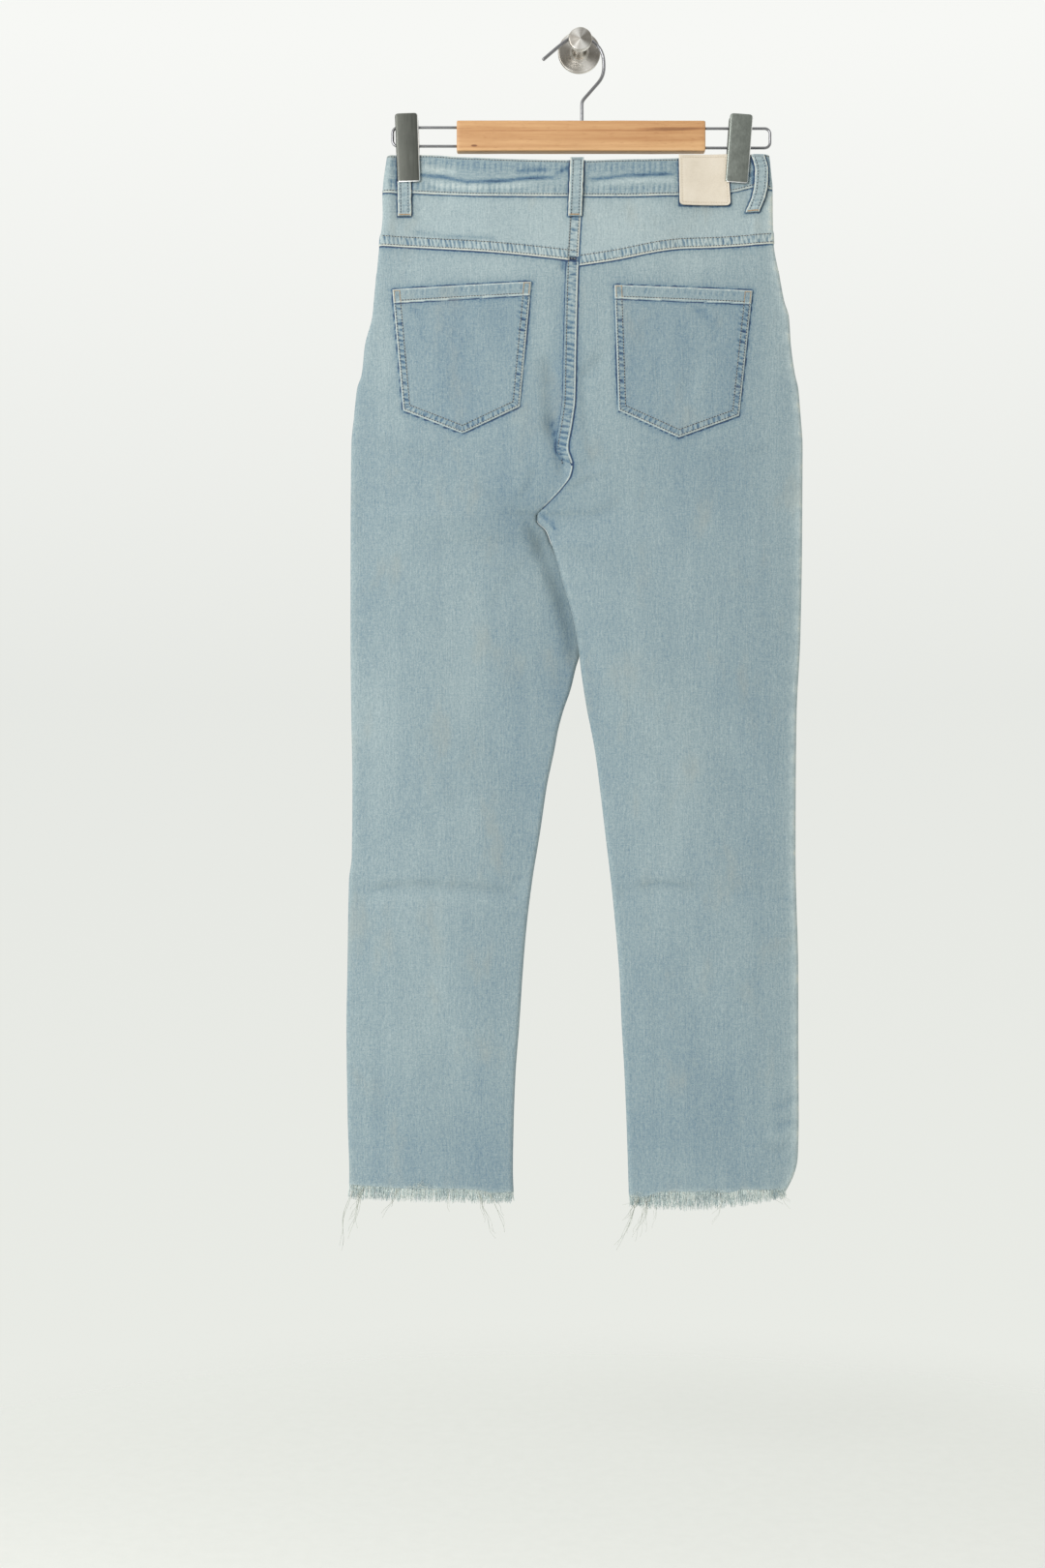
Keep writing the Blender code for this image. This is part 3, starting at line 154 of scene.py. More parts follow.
BACK_POCKETS = {
    "left": {"top": ((-174.6, 230.2), (-45.1, 224.5)),
             "low": ((-164.4, 343.2), (-108.9, 365.3), (-55.9, 340.7))},
    "right": {"top": ((31.5, 227.7), (160.3, 231.5)),
              "low": ((35.3, 344.4), (91.4, 369.1), (147.7, 348.3))},
}
POCKET_HEM = 13.0
LOOP_WIDTH = 12.6
BELT_LOOPS = {
    "belt_loop_back_left": ("back", 0.3, table("down x", (106, -163.8), (161.4, -163.2))),
    "belt_loop_back_centre": ("back", 2.4, table("down x", (109.4, -2.8), (163.5, -4.9))),
    "belt_loop_back_right": ("back", 2.0,
                             table("down x", (105, 165.2), (119, 168.8), (137, 167.6), (158, 160.6))),
    "belt_loop_front_left": ("front", 2.4, table("down x", (109, -106), (163, -106))),
    "belt_loop_front_right": ("front", 2.4, table("down x", (109, 100), (162, 100))),
}
PATCH_CORNERS = ((91.9, 105.6), (137.5, 103.8), (140.4, 151.4), (92.6, 152.2))
CLIPS = {"left": {"top": (-161.5, 67.0), "bottom": (-159.3, 130.2)},
         "right": {"top": (150.4, 67.6), "bottom": (145.6, 131.0)}}

# Large soft folds of the solids: a ridge (height above 0) or trough (below 0) between two places.
FOLDS = {
    "back": table(
        "x0 down0 x1 down1 width height",
        (-30, 306, -26, 357, 9, -2.2), (-26, 357, -14, 398, 6, -3.6), (3, 313, 22, 293, 9, -1.2),
        (-5, 396, 12, 396, 6, -1.8), (-214, 793, -60, 788, 10, -1.3), (33, 792, 200, 791, 10, -1.3),
        (-190, 450, -120, 480, 26, -1.6), (80, 470, 185, 440, 30, -1.5), (-120, 560, -60, 700, 22, -1.4),
        (90, 560, 150, 690, 24, -1.5), (-150, 860, -110, 1010, 24, -1.2), (110, 880, 140, 1020, 24, -1.3),
    ),
    "front": table(
        "x0 down0 x1 down1 width height",
        (-60, 380, -160, 350, 14, -1.8), (40, 380, 150, 345, 14, -1.8), (-214, 786, -60, 792, 10, -1.3),
        (33, 790, 200, 787, 10, -1.3), (-150, 520, -100, 680, 26, -1.5), (100, 540, 140, 700, 24, -1.5),
        (-130, 880, -150, 1010, 24, -1.2), (120, 860, 100, 1010, 24, -1.3),
    ),
}

# ---------------------------------------------------------------- creases, wear, painted shade and sewing, seen close

# A crease this much wider gets painted grey shade; a narrower one is painted darker blue, partly unworn dye
# and partly painted shade.
WIDE_CREASE = 2.55
# Each crease: half width, height (below 0 a trough), how much darker (above 0: painted shade, with unworn dye
# in narrow ones) or paler, and its line.
CREASES = {
    "back": (
        (4.4, -0.8, 0.12, ((-200, 791), (-184, 785), (-150, 783), (-110, 785), (-70, 790), (-54, 793))),
        (1.6, -0.5, 0.07, ((-198, 792), (-182, 787), (-168, 786))),
        (5.0, 0.4, -0.03, ((-200, 800), (-170, 795), (-119, 796), (-70, 802))),
        (4.4, -0.6, 0.10, ((50, 787), (68, 782), (90, 783), (112, 787))),
        (1.8, -0.4, 0.06, ((56, 786), (72, 782.5), (98, 784.5))),
        (1.6, -0.3, 0.05, ((178, 798), (198, 796))),
        (1.1, -0.4, 0.12, ((-62, 776), (-54, 776.5))), (1.1, -0.4, 0.10, ((-64, 796), (-56, 797))),
        (1.1, -0.4, 0.10, ((-66, 811), (-58, 812))),
        (5.0, -1.1, 0.14, ((-31, 290), (-28.5, 335), (-26, 357), (-23, 372))),
        (1.5, -0.9, 0.42, ((-26.5, 350), (-24.8, 362), (-20.5, 384), (-14, 394))),
        (3.6, -1.1, 0.12, ((1, 300), (3, 345), (6, 372), (12, 396))),
        (2.2, -0.8, 0.30, ((-17.5, 204), (-14.5, 214.7))),
        (5.0, -0.9, 0.10, ((2.3, 313.2), (12, 303), (21.2, 294.3))),
        (1.3, -0.6, 0.30, ((-38.5, 437.5), (-31, 443.5), (-25, 449.5), (-22, 455))),
        (3.5, -0.8, 0.12, ((-60, 428), (-48, 414), (-42, 396))),
        (3.5, -0.8, 0.12, ((-12, 418), (4, 408), (30, 402))),
        (5.0, -0.9, 0.06, ((-30, 446), (8, 442), (44, 428))),
        (6.5, -1.8, 0.46, ((-52, 438), (-45, 455), (-33, 482), (-20, 515), (-10, 550), (-5, 585))),
        (5.0, -0.8, 0.05, ((-46, 440), (-72, 430), (-98, 408))),
        (7.0, -0.9, 0.04, ((-20, 470), (14, 480), (60, 500))),
        (6.0, -0.7, 0.04, ((-34, 470), (-60, 492), (-84, 530))),
        (5.0, -0.6, 0.05, ((-190, 372), (-160, 382), (-120, 386))),
        (5.0, -0.6, 0.05, ((184, 376), (150, 386), (110, 388))),
        (9.0, -0.8, 0.03, ((-160, 620), (-130, 660), (-110, 720))),
        (8.0, -0.7, 0.03, ((60, 640), (84, 690), (90, 740))),
        (7.0, -0.6, 0.03, ((-206, 900), (-190, 950), (-184, 1010))),
        (3.0, -0.6, 0.10, ((104, 250), (116, 252), (118, 258))),
        (6.0, -0.5, 0.03, ((66, 860), (74, 930), (70, 1000))),
        (2.5, -0.7, 0.10, ((200, 982), (190, 990), (176, 992))),
        (2.5, -0.7, 0.10, ((200, 1002), (191, 1008), (180, 1008))),
        (3.0, -0.7, 0.10, ((199, 1024), (187, 1030), (168, 1028))),
        (4.0, 0.6, -0.05, ((199, 1014), (186, 1018), (172, 1018))),
        (3.5, -0.5, 0.08, ((-172, 150), (-168, 158), (-160, 176))),
        (1.8, -0.5, 0.20, ((-164, 173), (-161, 175.3), (-137.8, 178.2), (-119.4, 181.1), (-90.6, 182.7),
                           (-70, 186))),
        (6.0, -0.6, 0.04, ((-140, 152), (-120, 160), (-96, 162))),
        (5.0, -0.5, 0.05, ((20, 152), (40, 158), (66, 160))),
    ),
    "front": (
        (4.2, -0.8, 0.11, ((-213, 788), (-190, 792), (-140, 795), (-92, 791), (-52, 785))),
        (4.4, -0.7, 0.10, ((30, 787), (74, 792), (120, 788), (166, 783), (200, 786))),
        (5.0, 0.5, -0.10, ((-195, 801), (-140, 806), (-80, 801))),
        (5.0, -1.1, 0.10, ((-36, 398), (-66, 382), (-118, 366), (-160, 362))),
        (5.5, -1.0, 0.10, ((-6, 392), (40, 376), (92, 362), (140, 360))),
        (6.0, -1.2, 0.08, ((-34, 418), (-70, 416), (-116, 404))),
        (6.0, -1.1, 0.08, ((-14, 414), (30, 412), (80, 398))),
        (7.0, -0.9, 0.05, ((-48, 452), (-84, 470), (-120, 500))),
        (7.0, -0.9, 0.05, ((6, 452), (44, 474), (90, 508))),
        (9.0, -0.9, 0.03, ((-170, 600), (-150, 650), (-140, 730))),
        (9.0, -0.8, 0.03, ((140, 580), (128, 640), (120, 710))),
        (8.0, -0.6, 0.03, ((-100, 860), (-112, 930), (-104, 1000))),
        (8.0, -0.7, 0.03, ((150, 850), (156, 920), (150, 990))),
        (3.0, -0.7, 0.12, ((-40, 320), (-26, 330), (-14, 334))),
    ),
    "band": (
        (1.5, -0.75, 0.55, ((-181, 120), (-166, 121), (-148, 123), (-128, 125), (-106, 130.5), (-87, 130.8),
                            (-68, 130.2), (-48, 128), (-29, 127.6), (-11, 128.2))),
        (1.5, -0.75, 0.50, ((2, 128), (16, 129), (30, 127.4), (41, 125.6), (66, 124.6), (86, 123.6),
                            (93, 123))),
        (2.0, -0.5, 0.30, ((-62, 122), (-44, 120.5), (-27, 120.6))),
        (2.0, -0.5, 0.28, ((-180, 128), (-170, 129), (-160, 127))),
        (2.0, -0.6, 0.35, ((-24, 125), (-14, 120), (-10, 118))),
        (2.6, 0.5, -0.25, ((-150, 129), (-128, 133), (-100, 136), (-70, 136), (-40, 134))),
        (2.6, 0.5, -0.25, ((-150, 115), (-132, 119), (-112, 121))),
        (2.4, 0.4, -0.18, ((10, 134), (40, 132), (70, 130), (92, 130))),
        (2.2, -0.6, 0.35, ((144, 122), (156, 124), (164, 120))),
    ),
    "band front": (
        (1.8, -0.7, 0.42, ((176, 122), (150, 125), (120, 128), (90, 126), (60, 129), (28, 128))),
        (1.8, -0.7, 0.42, ((-12, 127), (-40, 126), (-70, 129), (-104, 125), (-140, 124), (-178, 121))),
        (2.4, 0.5, -0.2, ((150, 133), (110, 134), (60, 136))),
        (2.4, 0.5, -0.2, ((-30, 134), (-80, 135), (-130, 131))),
    ),
    "pockets": (
        (2.0, -0.45, 0.16, ((104, 249), (112, 251.5), (119, 252.5))),
        (2.2, -0.4, 0.10, ((106, 254), (116, 258), (122, 262))),
        (2.4, -0.4, 0.12, ((-160, 246), (-154, 250), (-150, 256))),
        (5.0, -0.5, 0.03, ((-150, 262), (-120, 300), (-112, 340))),
        (5.0, -0.5, 0.03, ((50, 262), (70, 300), (84, 344))),
        (6.0, 0.4, -0.03, ((-90, 262), (-84, 300), (-90, 330))),
        (6.0, 0.4, -0.03, ((120, 270), (118, 300), (108, 336))),
    ),
}

# Areas painted paler or darker: middle, half sizes along x and down, and how much paler (below 0, darker).
# The paler ones are worn areas; the darker ones are painted shade, as in the seat, below the pockets and
# beside the inseam.
WASH_AND_SHADE = {
    "back": table(
        "x down wide high paler",
        (90, 175, 90, 34, 0.05), (0, 172, 60, 26, 0.03), (-90, 210, 70, 14, 0.10), (95, 206, 70, 14, 0.06),
        (-185, 300, 14, 80, 0.05), (184, 300, 14, 90, 0.06), (-100, 395, 120, 70, -0.02),
        (-108, 285, 70, 75, 0.03), (100, 400, 110, 70, -0.03), (-20, 330, 14, 90, -0.08),
        (-34, 270, 10, 60, 0.05), (22, 330, 16, 60, 0.04), (-150, 480, 60, 70, 0.02),
        (-110, 590, 34, 80, 0.05), (-195, 650, 30, 160, 0.05), (-60, 640, 26, 110, -0.04),
        (-135, 860, 60, 90, 0.05), (-80, 1000, 40, 80, -0.02), (-120, 985, 60, 60, 0.03),
        (150, 610, 40, 110, -0.03), (90, 700, 50, 120, 0.02), (110, 850, 70, 60, -0.02),
        (90, 950, 60, 70, -0.04), (110, 1030, 80, 70, -0.05), (-140, 1030, 80, 70, -0.05),
        (-14, 590, 16, 60, -0.10), (8, 640, 12, 60, -0.04), (-60, 450, 30, 40, -0.05),
        (20, 450, 30, 40, -0.03), (-5, 240, 12, 30, 0.05),
    ),
    "front": table(
        "x down wide high paler",
        (-110, 470, 55, 110, 0.12), (100, 470, 55, 110, 0.12), (-130, 700, 50, 120, 0.05),
        (110, 700, 50, 120, 0.05), (-110, 900, 60, 80, 0.02), (0, 240, 60, 60, -0.03),
        (-20, 420, 30, 40, -0.08),
    ),
}

# Small tufts of loose cotton on the hems: middle, spread and how many threads.
TUFTS = {
    "left": ((-147.5, 1064.5, 4.0, 34), (-208.0, 1069.0, 2.5, 20), (-68.0, 1072.0, 3.0, 16)),
    "right": ((52.0, 1074.0, 3.0, 20), (120.0, 1070.0, 6.0, 22), (186.0, 1069.0, 2.5, 22)),
}
RUB = {"left": 0.035, "right": 0.25}   # how much paler the side seams are worn

# Threads that hang below the fraying: root, tip, sideways bow and drift towards the viewer.
LONG_THREADS = {
    "left": table(
        "root tip down bow out",
        (-210, -222.5, 1125, -4, 0), (-205.5, -216, 1114, 3, 1), (-201, -209, 1103, -3, -1),
        (-208, -214, 1096, 4, 1), (-171, -185, 1093, 3, 0), (-168, -176, 1084, -2, 1),
        (-124, -122.5, 1088, 1, 0), (-92, -79, 1113, -3, 0), (-86, -71, 1108, 3, 1),
        (-96, -90, 1098, 2, -1),
    ),
    "right": table(
        "root tip down bow out",
        (51, 33, 1124, 4, 0), (56, 45, 1109, -3, 1), (61, 54, 1111, 3, -1), (66, 61, 1107, -2, 0),
        (71, 68, 1104, 2, 1), (54, 40, 1096, 3, -1), (60, 50, 1117, 2, 1), (133, 124, 1100, 2, 0),
        (184, 195, 1086, 1, 0), (179, 188, 1082, -2, 1),
    ),
}

ROPE_PITCH = 5.1         # between the puckers along a felled seam
YOKE_ROPE = 1.25         # how much closer they are along the yokes
ROPE_SLANT = 0.35
STITCH_PITCH = 2.7
STITCH_LENGTH = 1.9
STITCH_RADIUS = 0.27
BEAD_SIDES = 5
# The dark beads after each stitch are painted shade in its needle hole.
HOLE_LENGTH = 1.1
HOLE_RADIUS = 0.48
PALE, TAN, GREY, HOLE_SHADE, OF_PATCH = range(5)   # the threads, in the order of their materials


# ---------------------------------------------------------------- numbers


def read(source, key, column, at):
    """A column's values at keys, on a smooth curve through the table's rows that never overshoots."""
    keys, values = source[key], source[column]
    secant = np.diff(values) / np.diff(keys)
    before, after = secant[:-1], secant[1:]
    same = before * after > 0
    inner = np.where(same, 2 * before * after / np.where(same, before + after, 1.0), 0.0)
    slope = np.concatenate([secant[:1], inner, secant[-1:]])
    at = np.asarray(at, float)
    row = np.clip(np.searchsorted(keys, at, side="right") - 1, 0, len(keys) - 2)
    span = keys[row + 1] - keys[row]
    t = np.clip((at - keys[row]) / span, 0.0, 1.0)
    rise = values[row + 1] - values[row]
    start, end = slope[row] * span, slope[row + 1] * span
    return values[row] + t * (start + t * (3 * rise - 2 * start - end + t * (start + end - 2 * rise)))


def ease(t):
    t = np.clip(t, 0.0, 1.0)
    return t * t * (3 - 2 * t)


def mix(a, b, t):
    return a + (b - a) * t


def quarter_round(t):
    """Height of a quarter circle, 0 at t = 0 and 1 from t = 1."""
    t = np.clip(t, 0.0, 1.0)
    return np.sqrt(1 - (1 - t) ** 2)


def unit(vectors):
    return vectors / np.maximum(np.linalg.norm(vectors, axis=-1, keepdims=True), 1e-9)


def pairs(x, down):
    """x and down side by side: the points of a line, or where a piece's weave lies."""
    return np.stack([x, down], axis=-1)


def lengths_along(points):
    """How far along a route each of its points is."""
    return np.concatenate([[0.0], np.cumsum(np.linalg.norm(np.diff(points, axis=0), axis=1))])


def to_line(x, down, points):
    """Distance to a line through points, and how far along it the nearest place is, from 0 to 1."""
    points = np.array(points, float)
    steps = np.linalg.norm(np.diff(points, axis=0), axis=1)
    reached = np.concatenate([[0.0], np.cumsum(steps)])
    best = np.full(np.shape(x), 1e9)
    along = np.zeros(np.shape(x))
    for k, (a, b) in enumerate(zip(points, points[1:])):
        t = np.clip(((x - a[0]) * (b[0] - a[0]) + (down - a[1]) * (b[1] - a[1])) / steps[k] ** 2, 0, 1)
        away = np.hypot(x - mix(a[0], b[0], t), down - mix(a[1], b[1], t))
        nearer = away < best
        best = np.where(nearer, away, best)
        along = np.where(nearer, (reached[k] + t * steps[k]) / reached[-1], along)
    return best, along


def uneven(x, seed):
    """A smooth uneven wave along x, from about -1 to 1."""
    total = 0.0
    for k, (rate, part) in enumerate(((1.0, 0.5), (2.3, 0.3), (4.1, 0.2))):
        total = total + part * np.sin(rate * x + seed * (k + 1) * 1.7 + np.sin(0.37 * rate * x + seed))
    return total


# ---------------------------------------------------------------- the garment's outer surface

def points_at(x, y, down):
    return np.stack(np.broadcast_arrays(x, y, -down), axis=-1)


def band_line(x):
    return read(BAND_SEAM, "x", "down", x)


def yoke_line(side, x):
    return read(YOKE_SEAM[side], "x", "down", x)


def hem_line(side, x):
    return read(HEMS[side], "x", "cloth", x)


def seat_seam(down):
    return read(SEAT_SEAM, "down", "x", down)


def above_crotch(down):
    """1 along the seat seam, fading out just above the crotch."""
    return ease((CROTCH - 4 - down) / 14)


def outer_edge(side, down):
    return read(SIDE_SEAMS, "down", side, down)


def inner_edge(side, down):
    down = np.asarray(down, float)
    return np.where(down < CROTCH, seat_seam(down), read(INSEAMS, "down", side, down))


def grip(x, down):
    """1 where a clip presses the cloth flat, 0 clear of it."""
    amount = 0.0
    for side, clip in CLIPS.items():
        away = x - clip["bottom"][0]
        outward = away * INWARD[side] < 0
        spread = np.where(outward, GRIP_SPREAD_OUT, GRIP_SPREAD_IN)
        beyond = np.abs(away) - CLIP_WIDTH / 2 - np.where(outward, 0, GRIP_MARGIN)
        amount = np.maximum(amount, 1 - ease(beyond / spread))
    return amount * (1 - ease((down - CLIP_GRIP) / GRIP_FADE))


def bulge(full, radius, from_start, width):
    """Depth across a flattened tube: round at its two edges, fullest at its middle."""
    near = np.minimum(from_start, width - from_start)
    across = np.clip(from_start / width, 0.0, 1.0)
    return radius * quarter_round(near / radius) + (full - radius) * np.abs(np.sin(np.pi * across)) ** 0.8


def fold_height(face, x, down):
    """Sum of the large folds, each fading towards its own ends."""
    folds = FOLDS[face]
    total = 0.0
    for x0, down0, x1, down1, width, height in zip(*(folds[name] for name in folds)):
        run_x, run_down = x1 - x0, down1 - down0
        length = math.hypot(run_x, run_down)
        along = ((x - x0) * run_x + (down - down0) * run_down) / length
        away = ((x - x0) * run_down - (down - down0) * run_x) / length
        beyond = np.maximum(0.0, np.maximum(-along, along - length))
        total = total + height * np.exp(-(away / width) ** 2 - (beyond / (1.5 * width)) ** 2)
    return total


def creases(place, x, down):
    """Height of the creases at a place, how much darker blue they make the cloth (unworn dye and painted
    shade), and how much painted grey shade they add.
    """
    height, dye_and_shade, painted_grey = 0.0, 0.0, 0.0
    for wide, tall, dark, line in CREASES[place]:
        away, along = to_line(x, down, line)
        fade = ease(along / 0.15) * ease((1 - along) / 0.15)
        uneven_depth = 0.75 + 0.25 * uneven(along * 9, wide + tall)
        height = height + tall * fade * uneven_depth * np.exp(-(away / wide) ** 2)
        darker = dark * fade * uneven_depth * np.exp(-(away / (wide * 1.1)) ** 2)
        # Wide creases get painted grey shade; narrow ones get a darker blue, partly unworn dye and partly
        # painted shade.
        if wide > WIDE_CREASE and dark > 0:
            painted_grey = painted_grey + darker
        else:
            dye_and_shade = dye_and_shade + darker
    return height, dye_and_shade, painted_grey


def depth(face, side, x, down):
    """How far the outer surface of the panels stands from the middle plane."""
    full = read(DEPTHS, "down", face, down)
    radius = FOLD_RADIUS["cloth"]
    left, right = outer_edge("left", down), outer_edge("right", down)
    whole = bulge(full, radius, x - left, right - left)
    curl = np.clip((down - CROTCH + SEAT_ROUNDING) / SEAT_ROUNDING, 0, 1)
    share = 1 - np.sqrt(1 - curl ** 2)
    start, end = outer_edge(side, down), inner_edge(side, down)
    whole = mix(whole, bulge(full, radius, (x - start) * INWARD[side], np.abs(end - start)), share)
    from_edge = np.minimum(np.abs(x - start), np.where(share > 0, np.abs(x - end), 1e9))
    relief = fold_height(face, x, down) + creases(face, x, down)[0]
    pucker = 0.35 * uneven(down * 0.42, 3 if face == "back" else 5) * np.exp(-(from_edge / 9) ** 2)
    whole = whole + relief * ease(from_edge / 12) + pucker * ease(from_edge / 2.5)
    near = np.minimum(x - left, right - x)
    least = GRIP_LEAST[face]
    return mix(whole, least * quarter_round(near / least), grip(x, down))


def surface(face, side, x, down):
    """Points of the outer surface of the panels."""
    start, end = outer_edge(side, down), inner_edge(side, down)
    lap = read(DEPTHS, "down", "lap", down) * ease((x - start) / (end - start))
    middle = read(DEPTHS, "down", "plane", down) + (lap if side == "left" else -lap)
    return points_at(x, middle + SIGN[face] * depth(face, side, x, down), down)


def band_surface(face, x, down):
    """Points of the waistband's outer surface, which runs on below it over the yokes."""
    left, right = outer_edge("left", down), outer_edge("right", down)
    full = read(DEPTHS, "down", face, down) + BAND_RISE
    out = bulge(full, FOLD_RADIUS["band"], x - left, right - left)
    near = np.minimum(x - left, right - x)
    out = mix(out, BAND_LEAST * quarter_round(near / BAND_LEAST), grip(x, down))
    return points_at(x, read(DEPTHS, "down", "plane", down) + SIGN[face] * out, down)


# ---------------------------------------------------------------- materials

PALE_STOPS = ((0.0, (0.038, 0.070, 0.140)), (0.28, (0.120, 0.205, 0.285)), (0.55, (0.285, 0.368, 0.396)),
              (0.80, (0.446, 0.530, 0.540)), (1.0, (0.640, 0.665, 0.600)))
WORN_BEIGE = (0.400, 0.405, 0.350)
# The colour of the grey shade painted into wide creases and hollows.
PAINTED_SHADE_GREY = (0.050, 0.085, 0.100)


class Nodes:
    """Short ways to make and join shader nodes."""

    def __init__(self, owner, shader="Principled BSDF"):
        owner.use_nodes = True
        self.owner, self.tree = owner, owner.node_tree
        self.shader = self.tree.nodes[shader]

    def add(self, kind, inputs=None, **settings):
        node = self.tree.nodes.new(kind)
        for key, value in settings.items():
            setattr(node, key, value)
        for key, value in (inputs or {}).items():
            if isinstance(value, bpy.types.NodeSocket):
                self.tree.links.new(value, node.inputs[key])
            else:
                node.inputs[key].default_value = value
        return node

    def maths(self, operation, a, b=0.0, c=0.0):
        return self.add("ShaderNodeMath", {0: a, 1: b, 2: c}, operation=operation).outputs[0]

    def total(self, start, *terms):
        """start plus each (value, weight)."""
        for value, weight in terms:
            start = self.maths("MULTIPLY_ADD", value, weight, start)
        return start

    def noise(self, vector, scale, detail=2.0, roughness=0.5, dimensions="2D", distortion=0.0):
        """A noise centred on 0, from about -0.5 to 0.5."""
        made = self.add("ShaderNodeTexNoise", {"Vector": vector, "Scale": scale, "Detail": detail,
                                               "Roughness": roughness, "Distortion": distortion},
                        noise_dimensions=dimensions)
        return self.maths("SUBTRACT", made.outputs["Fac"], 0.5)

    def stretch(self, vector, scale, turn=0.0, shift=(0.0, 0.0, 0.0)):
        return self.add("ShaderNodeMapping", {"Vector": vector, "Scale": scale, "Rotation": (0, 0, turn),
                                              "Location": shift}).outputs[0]

    def grain(self, vector, rates, detail, roughness, dimensions="2D", distortion=0.0, turn=0.0):
        """A noise with its own rate along each axis."""
        return self.noise(self.stretch(vector, rates, turn), 1.0, detail, roughness, dimensions, distortion)

    def place(self):
        """Where a point lies on its object, in metres."""
        return self.add("ShaderNodeTexCoord").outputs["Object"]

    def weave(self):
        """Where a point lies along and across the cloth, in metres."""
        return self.add("ShaderNodeUVMap", uv_map="cloth").outputs[0]

    def parts(self, vector):
        return self.add("ShaderNodeSeparateXYZ", {"Vector": vector}).outputs

    def length(self, a, b):
        squares = self.maths("ADD", self.maths("MULTIPLY", a, a), self.maths("MULTIPLY", b, b))
        return self.maths("SQRT", squares)

    def mark(self, name):
        return self.add("ShaderNodeAttribute", attribute_name=name, attribute_type="GEOMETRY").outputs

    def blend(self, amount, first, second):
        made = self.add("ShaderNodeMix", {0: amount, 6: first, 7: second}, data_type="RGBA")
        return made.outputs[2]

    def ramp(self, value, stops):
        node = self.add("ShaderNodeValToRGB", {"Fac": value})
        while len(node.color_ramp.elements) < len(stops):
            node.color_ramp.elements.new(0.5)
        for element, (place, colour) in zip(node.color_ramp.elements, stops):
            element.position = place
            element.color = (*colour, 1.0)
        return node.outputs["Color"]

    def remap(self, value, low, high, to_low=0.0, to_high=1.0):
        return self.add("ShaderNodeMapRange", {"Value": value, 1: low, 2: high, 3: to_low, 4: to_high},
                        interpolation_type="SMOOTHSTEP").outputs[0]

    def set(self, **values):
        for key, value in values.items():
            socket = self.shader.inputs[key.replace("_", " ")]
            if isinstance(value, bpy.types.NodeSocket):
                self.tree.links.new(value, socket)
            else:
                socket.default_value = value

    def bump(self, height, distance, strength=1.0):
        made = self.add("ShaderNodeBump", {"Height": height, "Distance": distance, "Strength": strength})
        self.tree.links.new(made.outputs[0], self.shader.inputs["Normal"])


def denim(name, tone, lean, shift, contrast=1.0):
    """Washed denim: twill, slub, speckle, blotches, worn folds and seams, with painted shade beside the edges
    of pieces sewn over it and in creases. tone 0 is navy, 1 white.
    """
    made = Nodes(bpy.data.materials.new(name))
    place = made.stretch(made.weave(), (1, 1, 1), shift=(shift, shift * 0.7, 0))
    # One unit of this map is a metre: the scales below are per metre.
    twill = made.grain(place, (620, 150, 1), 2.0, 0.6, turn=lean * 1.02)
    slub = made.grain(place, (900, 26, 1), 2.0, 0.5)
    weft = made.grain(place, (60, 1000, 1), 1.0, 0.5)
    speck = made.noise(place, 900, 1.0, 0.6)
    streak = made.grain(place, (85, 5, 1), 2.0, 0.5)
    cloud = made.grain(place, (17, 9, 1), 3.0, 0.6)
    wash_and_shade = made.mark("wash_and_shade")["Fac"]
    fold = made.mark("fold")["Fac"]
    under = made.mark("under")["Fac"]
    rope = made.mark("rope")
    ragged = made.noise(place, 260, 2.0, 0.6)
    worn_edge = made.remap(made.maths("MULTIPLY_ADD", ragged, 1.6, fold), 0.9, 1.9, 1.0, 0.0)
    # Painted shadow beside the edges of pieces sewn over this one: a dark line, partly unworn blue, and a
    # softer shade up to 7 mm out.
    edge_shadow = made.remap(made.maths("MULTIPLY_ADD", ragged, 1.2, under), 0.6, 2.1, 1.0, 0.0)
    shade = made.remap(under, 0.0, 7.0, 1.0, 0.0)
    along = made.parts(rope["Vector"])
    patches = made.add("ShaderNodeCombineXYZ", {"X": along[0], "Y": along[1]}).outputs[0]
    blotches = made.grain(patches, (0.33, 0.10, 1), 1.5, 0.5, turn=0.12)
    beat = made.total(0.0, (along[0], 2 * math.pi / ROPE_PITCH), (along[1], ROPE_SLANT), (blotches, 5.0))
    roping = made.total(-0.12, (made.maths("SINE", beat), 0.34), (blotches, 1.5))
    roping = made.maths("MULTIPLY", made.maths("MINIMUM", roping, 0.14), along[2])
    crackle = made.noise(place, 430, 1.0, 0.5)
    pale = made.total(tone, (twill, 0.24 * contrast), (slub, 0.12 * contrast), (weft, 0.08 * contrast),
                      (speck, 0.30 * contrast), (crackle, 0.16 * contrast), (streak, 0.07), (cloud, 0.15),
                      (wash_and_shade, 1.0), (roping, 0.5), (worn_edge, 0.34), (edge_shadow, -0.50), (shade, -0.10))
    beige = made.remap(made.grain(place, (26, 12, 1), 3.0, 0.6), 0.05, 0.32, 0.0, 0.24)
    colour = made.blend(beige, made.ramp(pale, PALE_STOPS), (*WORN_BEIGE, 1.0))
    # Painted grey shade in wide creases and hollows.
    colour = made.blend(made.mark("painted_shade")["Fac"], colour, (*PAINTED_SHADE_GREY, 1.0))
    made.set(Base_Color=colour, Roughness=0.92, Sheen_Weight=0.12, Sheen_Roughness=0.5)
    made.shader.inputs["Specular IOR Level"].default_value = 0.2
    threads = made.total(0.0, (twill, 1.0), (slub, 0.6), (speck, 0.5), (roping, 1.2), (ragged, 0.2))
    made.bump(threads, 0.00035, 0.9)
    return made.owner


